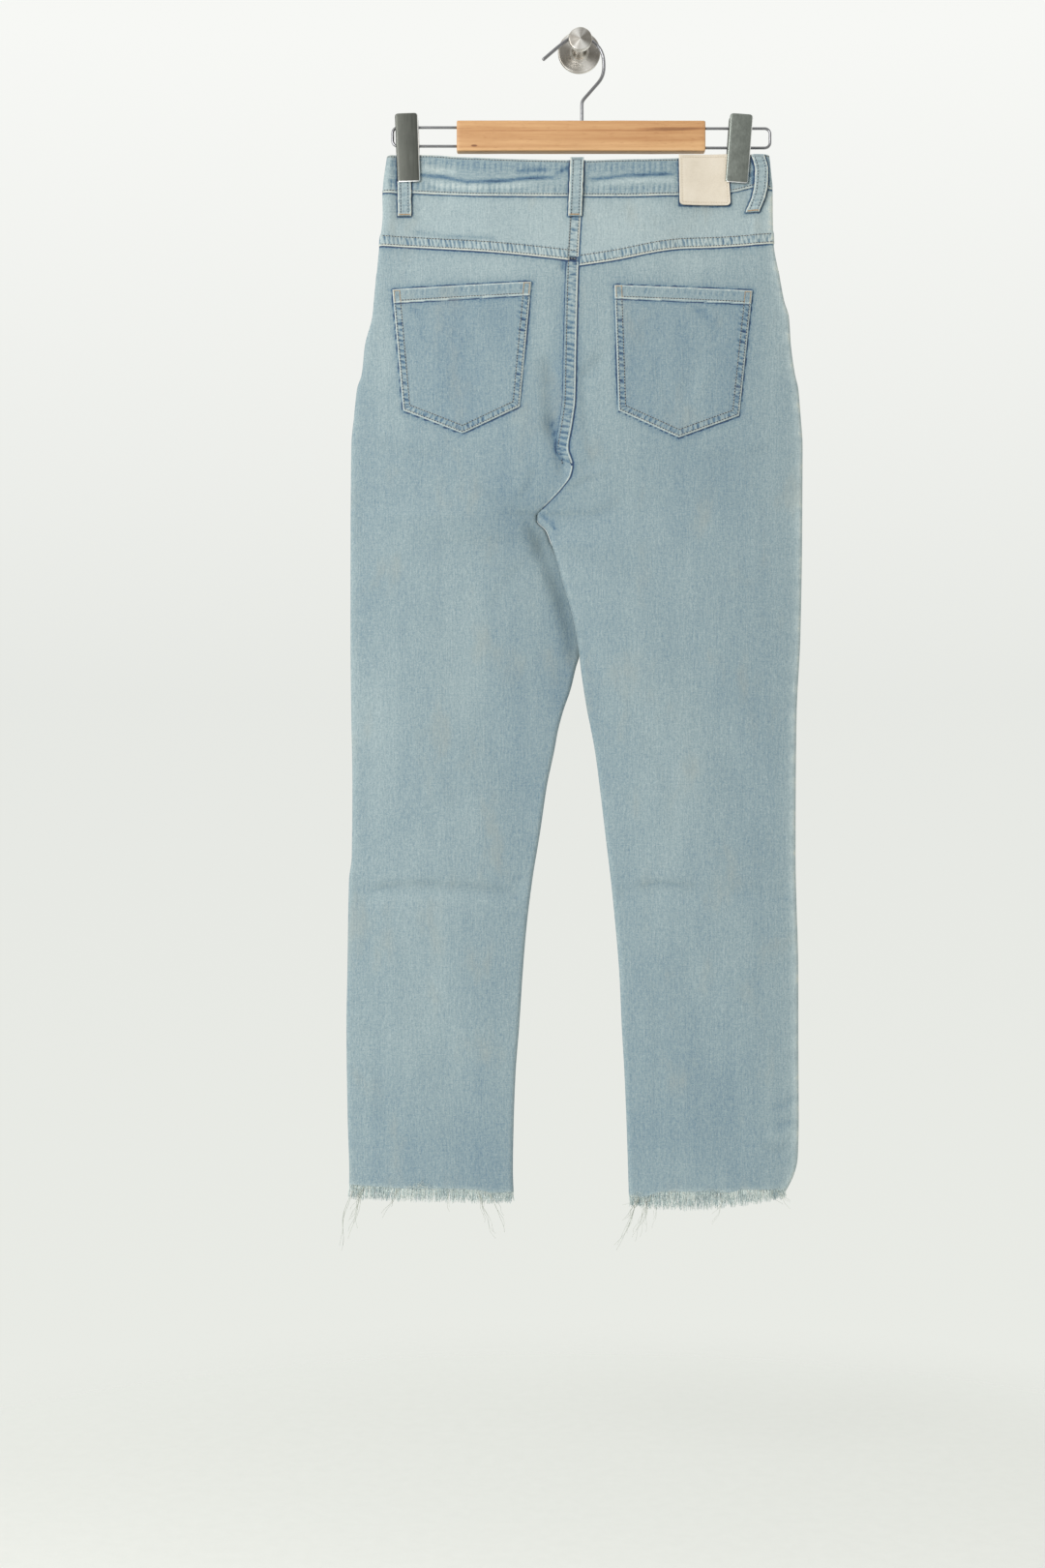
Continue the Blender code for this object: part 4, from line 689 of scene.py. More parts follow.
def denim_inside(name):
    """The cloth's weft side: paler, with faint blue warp showing through."""
    made = Nodes(bpy.data.materials.new(name))
    place = made.weave()
    twill = made.grain(place, (620, 150, 1), 2.0, 0.6, turn=-1.02)
    speck = made.noise(place, 900, 1.0, 0.6)
    pale = made.total(0.80, (twill, 0.5), (speck, 0.4))
    made.set(Base_Color=made.ramp(pale, PALE_STOPS), Roughness=0.95)
    made.bump(twill, 0.0003)
    return made.owner


def thread_material(name, stops, roughness=0.8, vary=0.0):
    """Sewing thread and fraying: colours broken up by the twist, and by how each thread differs."""
    made = Nodes(bpy.data.materials.new(name))
    place = made.place()
    twist = made.grain(place, (900, 900, 300), 2.0, 0.6, "3D")
    mottle = made.noise(place, 45, 2.0, 0.5, "3D")
    amount = made.total(0.5 * (1 - vary), (twist, 0.9), (mottle, 0.8), (made.mark("tint")["Fac"], vary))
    made.set(Base_Color=made.ramp(amount, stops), Roughness=roughness)
    made.bump(twist, 0.0001)
    return made.owner


def patch_leather():
    made = Nodes(bpy.data.materials.new("pale matt patch"))
    place = made.place()
    pores = made.noise(place, 1500, 2.0, 0.6, "3D")
    mottle = made.noise(place, 60, 3.0, 0.6, "3D")
    fine = made.grain(place, (300, 300, 900), 2.0, 0.6, "3D")
    amount = made.total(0.5, (pores, 0.5), (mottle, 0.7), (fine, 0.3))
    stops = ((0.0, (0.608, 0.532, 0.424)), (0.5, (0.750, 0.670, 0.555)), (1.0, (0.817, 0.750, 0.650)))
    made.set(Base_Color=made.ramp(amount, stops), Roughness=0.78)
    made.shader.inputs["Specular IOR Level"].default_value = 0.3
    made.bump(made.total(0.0, (pores, 1.0), (fine, 0.6)), 0.00018)
    return made.owner


def patch_edge():
    made = Nodes(bpy.data.materials.new("cut edge of the patch"))
    place = made.place()
    fibres = made.noise(place, 900, 3.0, 0.7, "3D")
    stops = ((0.2, (0.52, 0.40, 0.28)), (0.8, (0.72, 0.60, 0.45)))
    made.set(Base_Color=made.ramp(made.maths("ADD", fibres, 0.5), stops), Roughness=0.9)
    made.bump(fibres, 0.0002)
    return made.owner


# x and z of the middle of the bar's small knot, its darker streak and its one fine line.
KNOT, STREAK, FINE_LINE = (-98.5, -96.3), (89.0, -80.6), (0.0, -82.4)


def beech():
    """Oiled beech: long soft grain along the bar, dark flecks, a streak, a fine line and one small knot."""
    made = Nodes(bpy.data.materials.new("beech"))
    place = made.place()
    grain = made.grain(place, (9, 160, 240), 4.0, 0.65, "3D", 0.3)
    rings = made.grain(place, (2.2, 50, 85), 2.0, 0.5, "3D", 0.6)
    flecks = made.grain(place, (120, 900, 1300), 1.0, 0.5, "3D")
    flecks = made.remap(flecks, 0.10, 0.24)
    parts = made.parts(place)

    def spot(x, z, wide, high):
        across = made.maths("MULTIPLY", made.maths("SUBTRACT", parts[0], x * MM), 1 / (wide * MM))
        up = made.maths("MULTIPLY", made.maths("SUBTRACT", parts[2], z * MM), 1 / (high * MM))
        return made.remap(made.maths("MULTIPLY_ADD", grain, 0.8, made.length(across, up)), 0.3, 1.1, 1.0, 0.0)

    streak = spot(*STREAK, 40.0, 2.2)
    line = spot(*FINE_LINE, 150.0, 0.7)
    knot = spot(*KNOT, 3.4, 1.1)
    amount = made.total(0.52, (grain, 0.55), (rings, 0.75), (flecks, -0.10), (streak, -0.30), (line, -0.14),
                        (knot, -0.6))
    stops = ((0.0, (0.230, 0.095, 0.040)), (0.3, (0.500, 0.245, 0.100)), (0.55, (0.690, 0.405, 0.190)),
             (1.0, (0.800, 0.520, 0.285)))
    rough = made.total(0.46, (grain, 0.25))
    made.set(Base_Color=made.ramp(amount, stops), Roughness=rough)
    made.bump(made.total(0.0, (grain, 0.6), (flecks, -0.5)), 0.0002, 0.6)
    return made.owner


def steel(name, colour, roughness, lines, wear, bright=None, grooves=0.5):
    """Plated steel: fine brushing along one axis, stains, specks, and, if a bright colour is given, a
    highlight painted along the edges marked by fold.
    """
    made = Nodes(bpy.data.materials.new(name))
    place = made.place()
    brushing = made.grain(place, lines, 3.0, 0.7, "3D")
    stains = made.noise(place, 140, 3.0, 0.6, "3D")
    specks = made.remap(made.noise(place, 1400, 1.0, 0.5, "3D"), 0.16, 0.26)
    amount = made.total(0.5, (brushing, 0.7), (stains, wear * 3), (specks, 0.2))
    dark = tuple(0.72 * part for part in colour)
    light = tuple(min(1.0, 1.18 * part) for part in colour)
    shown = made.ramp(amount, ((0.1, dark), (0.9, light)))
    # A painted highlight in the bright colour along the edges marked by fold.
    if bright:
        edge = made.remap(made.mark("fold")["Fac"], CLIP_PAINTED_SHINE * 0.5, CLIP_PAINTED_SHINE * 1.3, 1.0, 0.0)
        shown = made.blend(edge, shown, (*bright, 1.0))
    rough = made.total(roughness, (brushing, 0.20), (stains, wear))
    made.set(Base_Color=shown, Metallic=1.0, Roughness=rough)
    if grooves:
        made.bump(brushing, 0.00006, grooves)
    return made.owner


# Highlight fans painted on the turned steel: direction round the axis, how narrow, how bright.
PAINTED_FANS = ((2.09, 9.0, 0.70), (1.04, 30.0, 0.40), (1.571, 14.0, 0.16), (0.15, 30.0, 0.08))


def turned_steel():
    """The knob: fine turned rings round its axis and a little anisotropy, with fan-shaped highlights painted
    into its colour by the angle round the axis.
    """
    made = Nodes(bpy.data.materials.new("turned steel"))
    place = made.place()
    parts = made.parts(place)
    radius = made.length(parts[0], parts[2])
    rings = made.add("ShaderNodeCombineXYZ", {"X": radius, "Y": parts[1]}).outputs[0]
    turning = made.grain(rings, (1500, 1500, 1), 2.0, 0.6)
    stains = made.noise(place, 160, 3.0, 0.6, "3D")
    turn = made.maths("ARCTAN2", parts[2], parts[0])
    fan_highlights = 0.0
    for lean, sharpness, bright in PAINTED_FANS:
        lobe = made.maths("COSINE", made.maths("SUBTRACT", turn, lean))
        fan_highlights = made.total(fan_highlights, (made.maths("POWER", made.maths("ABSOLUTE", lobe), sharpness), bright))
    amount = made.total(0.10, (turning, 0.12), (stains, 0.20), (fan_highlights, 1.0))
    tangent = made.add("ShaderNodeTangent", direction_type="RADIAL", axis="Y").outputs[0]
    colour = made.ramp(amount, ((0.0, (0.25, 0.225, 0.190)), (0.9, (0.92, 0.90, 0.86))))
    rough = made.total(0.36, (turning, 0.03), (stains, 0.05))
    made.set(Base_Color=colour, Metallic=1.0, Roughness=rough, Tangent=tangent)
    made.shader.inputs["Anisotropic"].default_value = 0.3
    return made.owner


# ---------------------------------------------------------------- meshes

def placed(name, data):
    """A new object in the scene."""
    made = bpy.data.objects.new(name, data)
    bpy.context.scene.collection.objects.link(made)
    return made


def piece(name, mesh, stuffs, nodes=()):
    """An object that rides with the body, stands for these nodes, and wears these materials."""
    for stuff in stuffs:
        mesh.materials.append(stuff)
    made = placed(name, mesh)
    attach(made, "root")
    if nodes:
        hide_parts(*nodes)
    return made


def mesh_of(name, points, faces, sharp=60.0, kinds=None):
    """A smooth-shaded mesh in metres, sharp where it bends by more than an angle."""
    mesh = bpy.data.meshes.new(name)
    mesh.from_pydata((np.asarray(points, float) * MM).tolist(), [], faces)
    mesh.update()
    if kinds is not None:
        mesh.polygons.foreach_set("material_index", kinds)
    mesh.shade_smooth()
    mesh.set_sharp_from_angle(angle=math.radians(sharp))
    return mesh


def tube_faces(count, rings, sides):
    """Faces of closed tubes, each of so many rings of points: their walls, then their end caps."""
    index = np.arange(count * rings * sides).reshape(count, rings, sides)
    after = np.roll(index, -1, axis=2)
    quads = np.stack([index[:, :-1], after[:, :-1], after[:, 1:], index[:, 1:]], axis=-1).reshape(-1, 4)
    return quads.tolist() + np.concatenate([index[:, 0, ::-1], index[:, -1]]).tolist()


def outward(place, face):
    """Unit normals of a lattice of points, pointing away from the garment's inside."""
    normal = unit(np.cross(np.gradient(place, axis=1), np.gradient(place, axis=0)))
    rows, columns = normal.shape[:2]
    middle = normal[rows // 2, columns // 2]
    return normal if middle[1] * SIGN[face] > 0 else -normal


MARKS = {"wash_and_shade": 0.0, "painted_shade": 0.0, "fold": FAR, "under": FAR}


def shell(name, place, face, thickness, stuffs, nodes, grain, rise=0.0, marks=None, rope=None):
    """A closed sheet of cloth: place holds its outer points by row and column, grain where the weave lies."""
    rows, columns = place.shape[:2]
    normal = outward(place, face)
    outer = place + normal * np.broadcast_to(rise, (rows, columns))[..., None]
    inner = place - normal * thickness
    count = rows * columns
    index = np.arange(count).reshape(rows, columns)
    quads = np.stack([index[:-1, :-1], index[:-1, 1:], index[1:, 1:], index[1:, :-1]], axis=-1).reshape(-1, 4)
    rim = np.concatenate([index[0, :], index[1:, -1], index[-1, -2::-1], index[-2:0:-1, 0]])
    after = np.roll(rim, -1)
    sides = np.stack([rim, rim + count, after + count, after], axis=-1)
    middle = (rows // 2, columns // 2)
    along = place[rows // 2, columns // 2 + 1] - place[middle]
    down = place[rows // 2 + 1, columns // 2] - place[middle]
    if np.dot(np.cross(along, down), normal[middle]) < 0:
        quads, sides = quads[:, ::-1], sides[:, ::-1]
    faces = np.concatenate([quads, quads[:, ::-1] + count, sides])
    kinds = np.zeros(len(faces), dtype=np.int32)
    kinds[len(quads):2 * len(quads)] = len(stuffs) - 1
    points = np.concatenate([outer.reshape(-1, 3), inner.reshape(-1, 3)])
    mesh = mesh_of(name, points, faces.tolist(), kinds=kinds)
    corners = np.empty(len(mesh.loops), dtype=np.int32)
    mesh.loops.foreach_get("vertex_index", corners)
    flat = np.tile(grain.reshape(-1, 2), (2, 1))[corners] * MM
    mesh.uv_layers.new(name="cloth").data.foreach_set("uv", flat.ravel())
    marks = marks or {}
    for key, usual in MARKS.items():
        values = np.broadcast_to(marks.get(key, usual), (rows, columns)).ravel()
        mesh.attributes.new(key, "FLOAT", "POINT").data.foreach_set("value", np.tile(values, 2))
    values = np.zeros((rows, columns, 3)) if rope is None else rope
    mesh.attributes.new("rope", "FLOAT_VECTOR", "POINT").data.foreach_set(
        "vector", np.tile(values.reshape(-1, 3), (2, 1)).ravel())
    made = piece(name, mesh, stuffs, nodes)
    steps = np.cross(place[:-1, 1:] - place[:-1, :-1], place[1:, :-1] - place[:-1, :-1])
    made["cut_area"] = float(np.linalg.norm(steps, axis=-1).sum()) * MM * MM
    return made


def sheet(made, width, length):
    """Removes a piece's own area; its blank's width and length in millimetres are not kept."""
    width, length = width * MM, length * MM
    del made["cut_area"]


EDGE = np.array((0, 0.12, 0.35, 0.7, 1.2, 1.9, 2.8, 4.0, 6.0, 8.5))


def shares_of(length, near, *between):
    """Shares of a length: close together near its two ends, then as given between them."""
    return np.concatenate([EDGE[:near], *between, length - EDGE[:near][::-1]]) / length


def columns_between(start, end, count):
    """For each row, x from start to end: close together near both edges, evenly spread between."""
    width = np.abs(end - start)[:, None]
    low, high = EDGE[-1], width - EDGE[-1]
    middle = low + (high - low) * np.linspace(0, 1, count + 2)[1:-1]
    near = np.broadcast_to(EDGE, (len(start), len(EDGE)))
    distance = np.concatenate([near, middle, width - EDGE[::-1]], axis=1)
    return start[:, None] + np.sign(end - start)[:, None] * distance


def settle(levels, upper, lower, edge):
    """Where an edge crosses each level between two lines across the garment."""
    x = np.zeros(len(levels))
    for _ in range(8):
        x = edge(mix(upper(x), lower(x), levels))
    return x


def lattice(levels, upper, lower, start_edge, end_edge, count):
    """x and down of a panel's points, by row and column."""
    start, end = settle(levels, upper, lower, start_edge), settle(levels, upper, lower, end_edge)
    x = columns_between(start, end, count)
    return x, mix(upper(x), lower(x), levels[:, None])


def levels_at(x, upper, lower, spans):
    """Row levels from stretches of (first down, last down, step) measured at one x."""
    downs = np.concatenate([np.arange(first, last, step) for first, last, step in spans])
    levels = (downs - upper(x)) / (lower(x) - upper(x))
    inside = levels[(levels > 0.0005) & (levels < 0.9995)]
    return np.concatenate([[0.0], inside, [1.0]])


def wash_and_shade_at(face, x, down):
    """How much paler the cloth is: large worn areas and rubbed seams, less painted shade in the darker areas
    and the creases' dark lines, which are partly painted shade.
    """
    spots = WASH_AND_SHADE[face]
    total = np.zeros(np.shape(x))
    for at_x, at_down, wide, high, paler in zip(*(spots[name] for name in spots)):
        total += paler * np.exp(-((x - at_x) / wide) ** 2 - ((down - at_down) / high) ** 2)
    for side, seed in (("left", 2), ("right", 4)):
        away = np.abs(x - outer_edge(side, down))
        total += RUB[side] * (1 + 0.5 * uneven(down * 0.21, seed)) * np.exp(-(away / 6.0) ** 2)
        inner = np.where(down > CROTCH, np.abs(x - inner_edge(side, down)), NO_SEAM)
        total += (0.03 + 0.03 * uneven(down * 0.3, 6)) * np.exp(-(inner / 3.0) ** 2)
    return total - creases(face, x, down)[1]


def hem_wash(side, x, down):
    """The pale line along a raw hem."""
    return 0.11 * np.exp(-((hem_line(side, x) - down) / 2.5) ** 2)


# ---------------------------------------------------------------- legs and yokes

def pocket_outline(side):
    outline = BACK_POCKETS[side]
    (left, right), (low_left, tip, low_right) = outline["top"], outline["low"]
    return (left, right, low_right, tip, low_left, left)


def strip_rise(away, width=FELL_WIDTH):
    """A felled seam's raised strip, rounded at its free edge."""
    body = FELL_RISE * (1 - ease((away - width + 0.8) / 2.2))
    return body * quarter_round(away / 0.9) - 0.4 * (1 - quarter_round(away / 0.4))


def strip_rope(along, away, amount, width=FELL_WIDTH):
    """Marks where a seam's puckers lie: along it, across it, and how strong."""
    inside = ease((away - 0.8) / 1.2) * (1 - ease((away - width + 1.2) / 1.6))
    return np.stack(np.broadcast_arrays(along, away, amount * inside), axis=-1)


def leg_lattice(side, upper, outer, middle, spans, count):
    """x and down of a leg panel's points. The right leg runs on under the left at the seat seam."""
    def inner(down):
        return inner_edge(side, down) - (TUCK * ease((405 - down) / 25) if side == "right" else 0.0)

    lower = partial(hem_line, side)
    return lattice(levels_at(middle, upper, lower, spans), upper, lower, outer, inner, count)


def back_leg(side, stuffs):
    def upper(x):
        return yoke_line(side, x) - TUCK

    middle = -130.0 if side == "left" else 120.0
    spans = ((183, 212, 1.2), (212, 390, 3), (390, 500, 1.8), (500, 776, 3.4), (776, 804, 1.2),
             (804, 1058, 3.4), (1058, 1072, 1.4))
    x, down = leg_lattice(side, upper, partial(outer_edge, side), middle, spans, 56)
    seam = seat_seam(down)
    under = np.maximum(down - yoke_line(side, x), 0.0)
    under = np.minimum(under, to_line(x, down, pocket_outline(side))[0])
    marks = {"wash_and_shade": wash_and_shade_at("back", x, down) + hem_wash(side, x, down), "painted_shade": creases("back", x, down)[2],
             "under": under}
    rise, rope = 0.0, None
    ends = above_crotch(down)
    if side == "left":
        away = np.where(down < CROTCH, np.maximum(seam - x, 0), NO_SEAM)
        whole = ease((STRIP_END - down) / 14)
        rise = strip_rise(away) * whole + 0.5 * quarter_round(away / 0.5) * ease((2.4 - away) / 1.6) * ends
        rope = strip_rope(down, away, whole)
        marks["fold"] = np.where(ends > 0.1, away, FAR)
        past = (whole > 0.5) & (away > FELL_WIDTH + 0.6)
        marks["under"] = np.minimum(under, np.where(past, away - FELL_WIDTH, FAR))
    else:
        away = np.where(down < CROTCH, x - seam, NO_SEAM)
        marks["under"] = np.where(ends > 0, np.minimum(under, np.where(away < 0, 0.0, away)), under)
    made = shell(f"cloth_back_{side}", surface("back", side, x, down), "back", DENIM, stuffs,
                 [f"back_panel_{side}"], pairs(x, down), rise=rise, marks=marks, rope=rope)
    sheet(made, 258, 905)


def scoop_edge(side, down):
    """The front panel's edge: round the pocket's mouth, then the side seam."""
    edge = outer_edge(side, down)
    top = band_line(edge)
    t = np.clip((down - top) / SCOOP_HEIGHT, 0, 1)
    return edge + INWARD[side] * SCOOP_WIDTH * np.sqrt(1 - t * t)


def fly_stitch(scale):
    """The fly's outline: straight down beside the centre front, then round to the seam."""
    left = FRONT_CENTRE - 31 * scale
    bottom = 147.0 + FLY_LENGTH - 6 * (1 - scale)
    wide, high = -6 - left, 42
    points = [(left, 148.0), (left, bottom - high)]
    for angle in math.pi / 2 * np.arange(1, 9) / 8:
        points.append((left + wide * (1 - math.cos(angle)), bottom - high + high * math.sin(angle)))
    return points


def front_leg(side, stuffs):
    def upper(x):
        return band_line(x) - 3

    middle = -40.0 if side == "left" else 40.0
    spans = ((136, 240, 2.6), (240, 390, 3.4), (390, 500, 2.2), (500, 776, 4.2), (776, 804, 1.4),
             (804, 1058, 4.2), (1058, 1072, 1.4))
    x, down = leg_lattice(side, upper, partial(scoop_edge, side), middle, spans, 44)
    mouth = np.abs(x - scoop_edge(side, down))
    in_scoop = down < band_line(outer_edge(side, down)) + SCOOP_HEIGHT - 1
    away = np.where(down < CROTCH, np.abs(seat_seam(down) - x), NO_SEAM)
    marks = {"wash_and_shade": wash_and_shade_at("front", x, down) + hem_wash(side, x, down),
             "painted_shade": creases("front", x, down)[2], "fold": np.where(in_scoop, mouth, FAR),
             "under": np.maximum(down - band_line(x), 0.0)}
    rise = np.where(in_scoop, 0.5 * quarter_round(mouth / 0.8) - 0.2, 0.3)
    ends = above_crotch(down)
    if side == "left":
        rise = rise + strip_rise(away, width=8.0) * ends
        marks["fold"] = np.minimum(marks["fold"], np.where(ends > 0.3, away, FAR))
    else:
        marks["under"] = np.where(ends > 0, np.minimum(marks["under"], away), marks["under"])
    made = shell(f"cloth_front_{side}", surface("front", side, x, down), "front", DENIM, stuffs,
                 [f"front_panel_{side}"], pairs(x, down), rise=rise, marks=marks,
                 rope=strip_rope(down, away, 0.8 * ends, 8.0))
    sheet(made, 226, 950)


def levels_to_edge(height, step):
    """Row levels, evenly spread and then close together near the lower edge."""
    return np.concatenate([np.arange(0, height - EDGE[-1], step), height - EDGE[::-1]]) / height


def levels_of_yoke(height, step):
    """The same, and close together just below the waistband too."""
    first = np.array((0, 2.6, 3.0, 3.4, 3.9, 4.6, 5.6, 7.0)) / height
    rest = levels_to_edge(height, step)
    return np.concatenate([first, rest[rest > first[-1] + 0.02]])


def sewn_over(face, x, down):
    """Distance from the nearest belt loop, or the patch, that is sewn over a face."""
    near = [loop_distance(name, x, down) for name, loop in BELT_LOOPS.items() if loop[0] == face]
    if face == "back":
        near.append(to_line(x, down, PATCH_CORNERS + PATCH_CORNERS[:1])[0])
    return np.minimum.reduce(near)


def yoke(side, stuffs):
    def upper(x):
        return band_line(x) - 3

    def inner(down):
        return seat_seam(down) - (TUCK if side == "right" else 0.0)

    x, down = lattice(levels_of_yoke(60.0, 2.4), upper, partial(yoke_line, side), partial(outer_edge, side),
                      inner, 62)
    seam = seat_seam(down)
    low = yoke_line(side, x) - down
    rise = strip_rise(low)
    rope = strip_rope(x * YOKE_ROPE, low, 1.15)
    marks = {"wash_and_shade": wash_and_shade_at("back", x, down) + 0.07, "painted_shade": creases("back", x, down)[2], "fold": low,
             "under": np.minimum(np.maximum(down - band_line(x), 0.0), sewn_over("back", x, down))}
    if side == "left":
        away = np.maximum(seam - x, 0)
        beside = strip_rise(away)
        rise = np.where(away < FELL_WIDTH + 2, np.maximum(rise, beside), rise)
        rise = np.where(away < 0.5, beside, rise)
        rope = np.where((away < FELL_WIDTH)[..., None], strip_rope(down, away, 0.9), rope)
        marks["fold"] = np.minimum(low, away)
    else:
        away = x - seam
        rise = rise * ease((away + 0.5) / 1.0)
        marks["under"] = np.minimum(marks["under"], np.maximum(away, 0))
    made = shell(f"cloth_yoke_{side}", surface("back", side, x, down), "back", DENIM, stuffs,
                 [f"yoke_{side}"], pairs(x, down), rise=rise, marks=marks, rope=rope)
    sheet(made, 205, 80)


def pocket_facing(side, stuffs):
    """The cloth behind a front pocket's mouth. It starts under the waistband and ends below the mouth."""
    drops = np.linspace(0, FACING_DEEP, 31) * SCOOP_HEIGHT
    width = SCOOP_WIDTH * np.sqrt(np.clip(1 - (drops / SCOOP_HEIGHT) ** 2, 0, 1)) + FACING_MARGIN
    start, nominal = EDGE[-1], 100.0
    near = np.concatenate([EDGE, np.linspace(start, nominal, 26)[1:]])
    beyond = mix(start, width[:, None], (near - start) / (nominal - start))
    distance = np.where(near < start, near, beyond)
    down = np.full_like(distance, 150.0)
    for _ in range(6):
        x = outer_edge(side, down) + INWARD[side] * distance
        down = band_line(x) - FACING_UNDER + drops[:, None]
    mouth = np.abs(x - scoop_edge(side, down))
    marks = {"wash_and_shade": wash_and_shade_at("front", x, down) - 0.06,
             "under": np.minimum(mouth, np.abs(down - band_line(x)))}
    made = shell(f"cloth_facing_{side}", surface("front", side, x, down), "front", FACING, stuffs,
                 [f"pocket_facing_{side}"], pairs(x, down), rise=-0.45, marks=marks)
    sheet(made, 105, 78)


def fly_shield(stuffs):
    rows = np.linspace(SHIELD_TOP, SHIELD_TOP + FLY_LENGTH, 40)
    x, down = np.meshgrid(np.linspace(FRONT_CENTRE - 28, FRONT_CENTRE + 12, 12), rows)
    place = surface("front", "left", x, down) - np.array((0, DENIM + SHIELD_OFF, 0))
    made = shell("cloth_fly_shield", place, "front", SHIELD, stuffs, ["fly_shield"], pairs(x, down))
    sheet(made, 41, 166)


# ---------------------------------------------------------------- waistband

def loop_distance(name, x, down):
    """Distance from a belt loop's edges."""
    _, _, route = BELT_LOOPS[name]
    top, bottom = route["down"][0], route["down"][-1]
    beside = np.abs(x - read(route, "down", "x", down)) - LOOP_WIDTH / 2
    beyond = np.maximum(down - bottom, top - down)
    return np.hypot(np.maximum(beside, 0), np.maximum(beyond, 0))


def band_x(x, down):
    """Where the band's x, measured between BAND_ENDS, lies across the garment at a height."""
    low, high = BAND_ENDS
    return mix(outer_edge("left", down), outer_edge("right", down), (x - low) / (high - low))


def band_place(x, face_sign, level, lapped):
    """The band's outer points, and where they lie: x runs from one side fold to the other."""
    down = mix(read(BAND_TOP, "x", "down", x), band_line(x), level)
    true_x = band_x(x, down)
    back, front = band_surface("back", true_x, down), band_surface("front", true_x, down)
    place = np.where(face_sign[..., None] < 0, back, front)
    ramp = 1 - ease((x - FRONT_CENTRE - LAP_RAMP[0]) / (LAP_RAMP[1] - LAP_RAMP[0]))
    place[..., 1] -= np.where(lapped, (BAND + GAP) * ramp, 0.0)
    return place, true_x, down


def waistband(stuffs):
    """One strip all round: from the underlap along the front's right, the back, then the front's left."""
    low, high = BAND_ENDS
    across = np.concatenate([low + EDGE[:-1], np.arange(low + 8, high - 8, 2.4), high - EDGE[-2::-1]])
    first = np.concatenate([[FRONT_CENTRE - UNDERLAP], across[across > FRONT_CENTRE - UNDERLAP + 1]])
    last = np.concatenate([across[across < FRONT_CENTRE - 1.5], FRONT_CENTRE - np.array((0.9, 0.4, GAP))])
    way = np.concatenate([first, across[::-1][1:-1], last])
    signs = np.concatenate([np.ones(len(first)), -np.ones(len(across) - 2), np.ones(len(last))])
    lapped = np.concatenate([first < FRONT_CENTRE + LAP_RAMP[1], np.zeros(len(way) - len(first), bool)])
    x, level = np.meshgrid(way, shares_of(BAND_HEIGHT, 7, np.arange(4.2, BAND_HEIGHT - 4, 1.5)))
    sign, lap = np.broadcast_to(signs, x.shape), np.broadcast_to(lapped, x.shape)
    place, true_x, down = band_place(x, sign, level, lap)
    from_top, from_seam = level * BAND_HEIGHT, (1 - level) * BAND_HEIGHT
    near = np.minimum(from_top, from_seam)
    relief, darker, painted_grey = (np.where(sign < 0, back, front) for back, front in
                              zip(creases("band", true_x, down), creases("band front", true_x, down)))
    pucker = 0.22 * uneven(true_x * 0.75, 2) * np.exp(-((from_seam - 5) / 5) ** 2)
    pucker += 0.16 * uneven(true_x * 0.62, 7) * np.exp(-((from_top - 7) / 5) ** 2)
    rise = relief * ease(near / 3) + pucker * ease(near / 2) - 1.3 * (1 - quarter_round(near / 1.3))
    rope = np.stack([true_x, level * 9, 0.62 * (np.exp(-((from_seam - 6.5) / 4.5) ** 2)
                                              + 0.8 * np.exp(-((from_top - 7.5) / 5.5) ** 2))], axis=-1)
    under = np.where(sign < 0, sewn_over("back", true_x, down), sewn_over("front", true_x, down))
    edge_wash = 0.07 * np.exp(-((true_x + 182) / 8) ** 2) + 0.07 * np.exp(-((true_x - 179) / 6) ** 2)
    marks = {"wash_and_shade": edge_wash - darker - 0.04 - 0.08 * np.exp(-((from_top - 6) / 7) ** 2), "painted_shade": painted_grey,
             "fold": np.minimum(from_seam, from_top + 0.3), "under": np.minimum(under, FAR)}
    round_it = np.broadcast_to(np.cumsum(np.abs(np.gradient(way))), x.shape)
    made = shell("cloth_waistband", place, "back", BAND, stuffs, ["waistband"], pairs(down, round_it),
                 rise=rise, marks=marks, rope=rope)
    sheet(made, 36, 768)


# ---------------------------------------------------------------- what is sewn on

def over_band(face, x, down):
    """The waistband's surface down to its seam, then the panels' and their felled seams' below it."""
    left, right = surface(face, "left", x, down), surface(face, "right", x, down)
    low = np.where((x < seat_seam(down))[..., None], left, right)
    place = band_surface(face, x, down)
    t = ease((down - band_line(x) - 2) / 6)
    place[..., 1] = mix(place[..., 1], low[..., 1] + SIGN[face] * YOKE_CLEARANCE, t)
    return place


def loop_ends(name):
    downs = BELT_LOOPS[name][2]["down"]
    return downs[0] - 0.4, downs[-1]


def loop_surface(name, x, down):
    """A belt loop's outer face: it stands off the band between its sewn ends."""
    face, stand_off, _ = BELT_LOOPS[name]
    top, bottom = loop_ends(name)
    level = np.clip((down - top) / (bottom - top), 0, 1)
    place = over_band(face, x, down)
    place[..., 1] += SIGN[face] * (stand_off * np.sin(np.pi * level) ** 1.5 + LOOP_OFF + LOOP_CLOTH)
    return place


def patch_surface(x, down, level):
    """The patch's outer face: its lower edge stands a little off the cloth."""
    place = over_band("back", x, down)
    place[..., 1] -= PATCH_OFF + LEATHER + 0.5 * ease((level - 0.75) / 0.25) ** 2
    return place


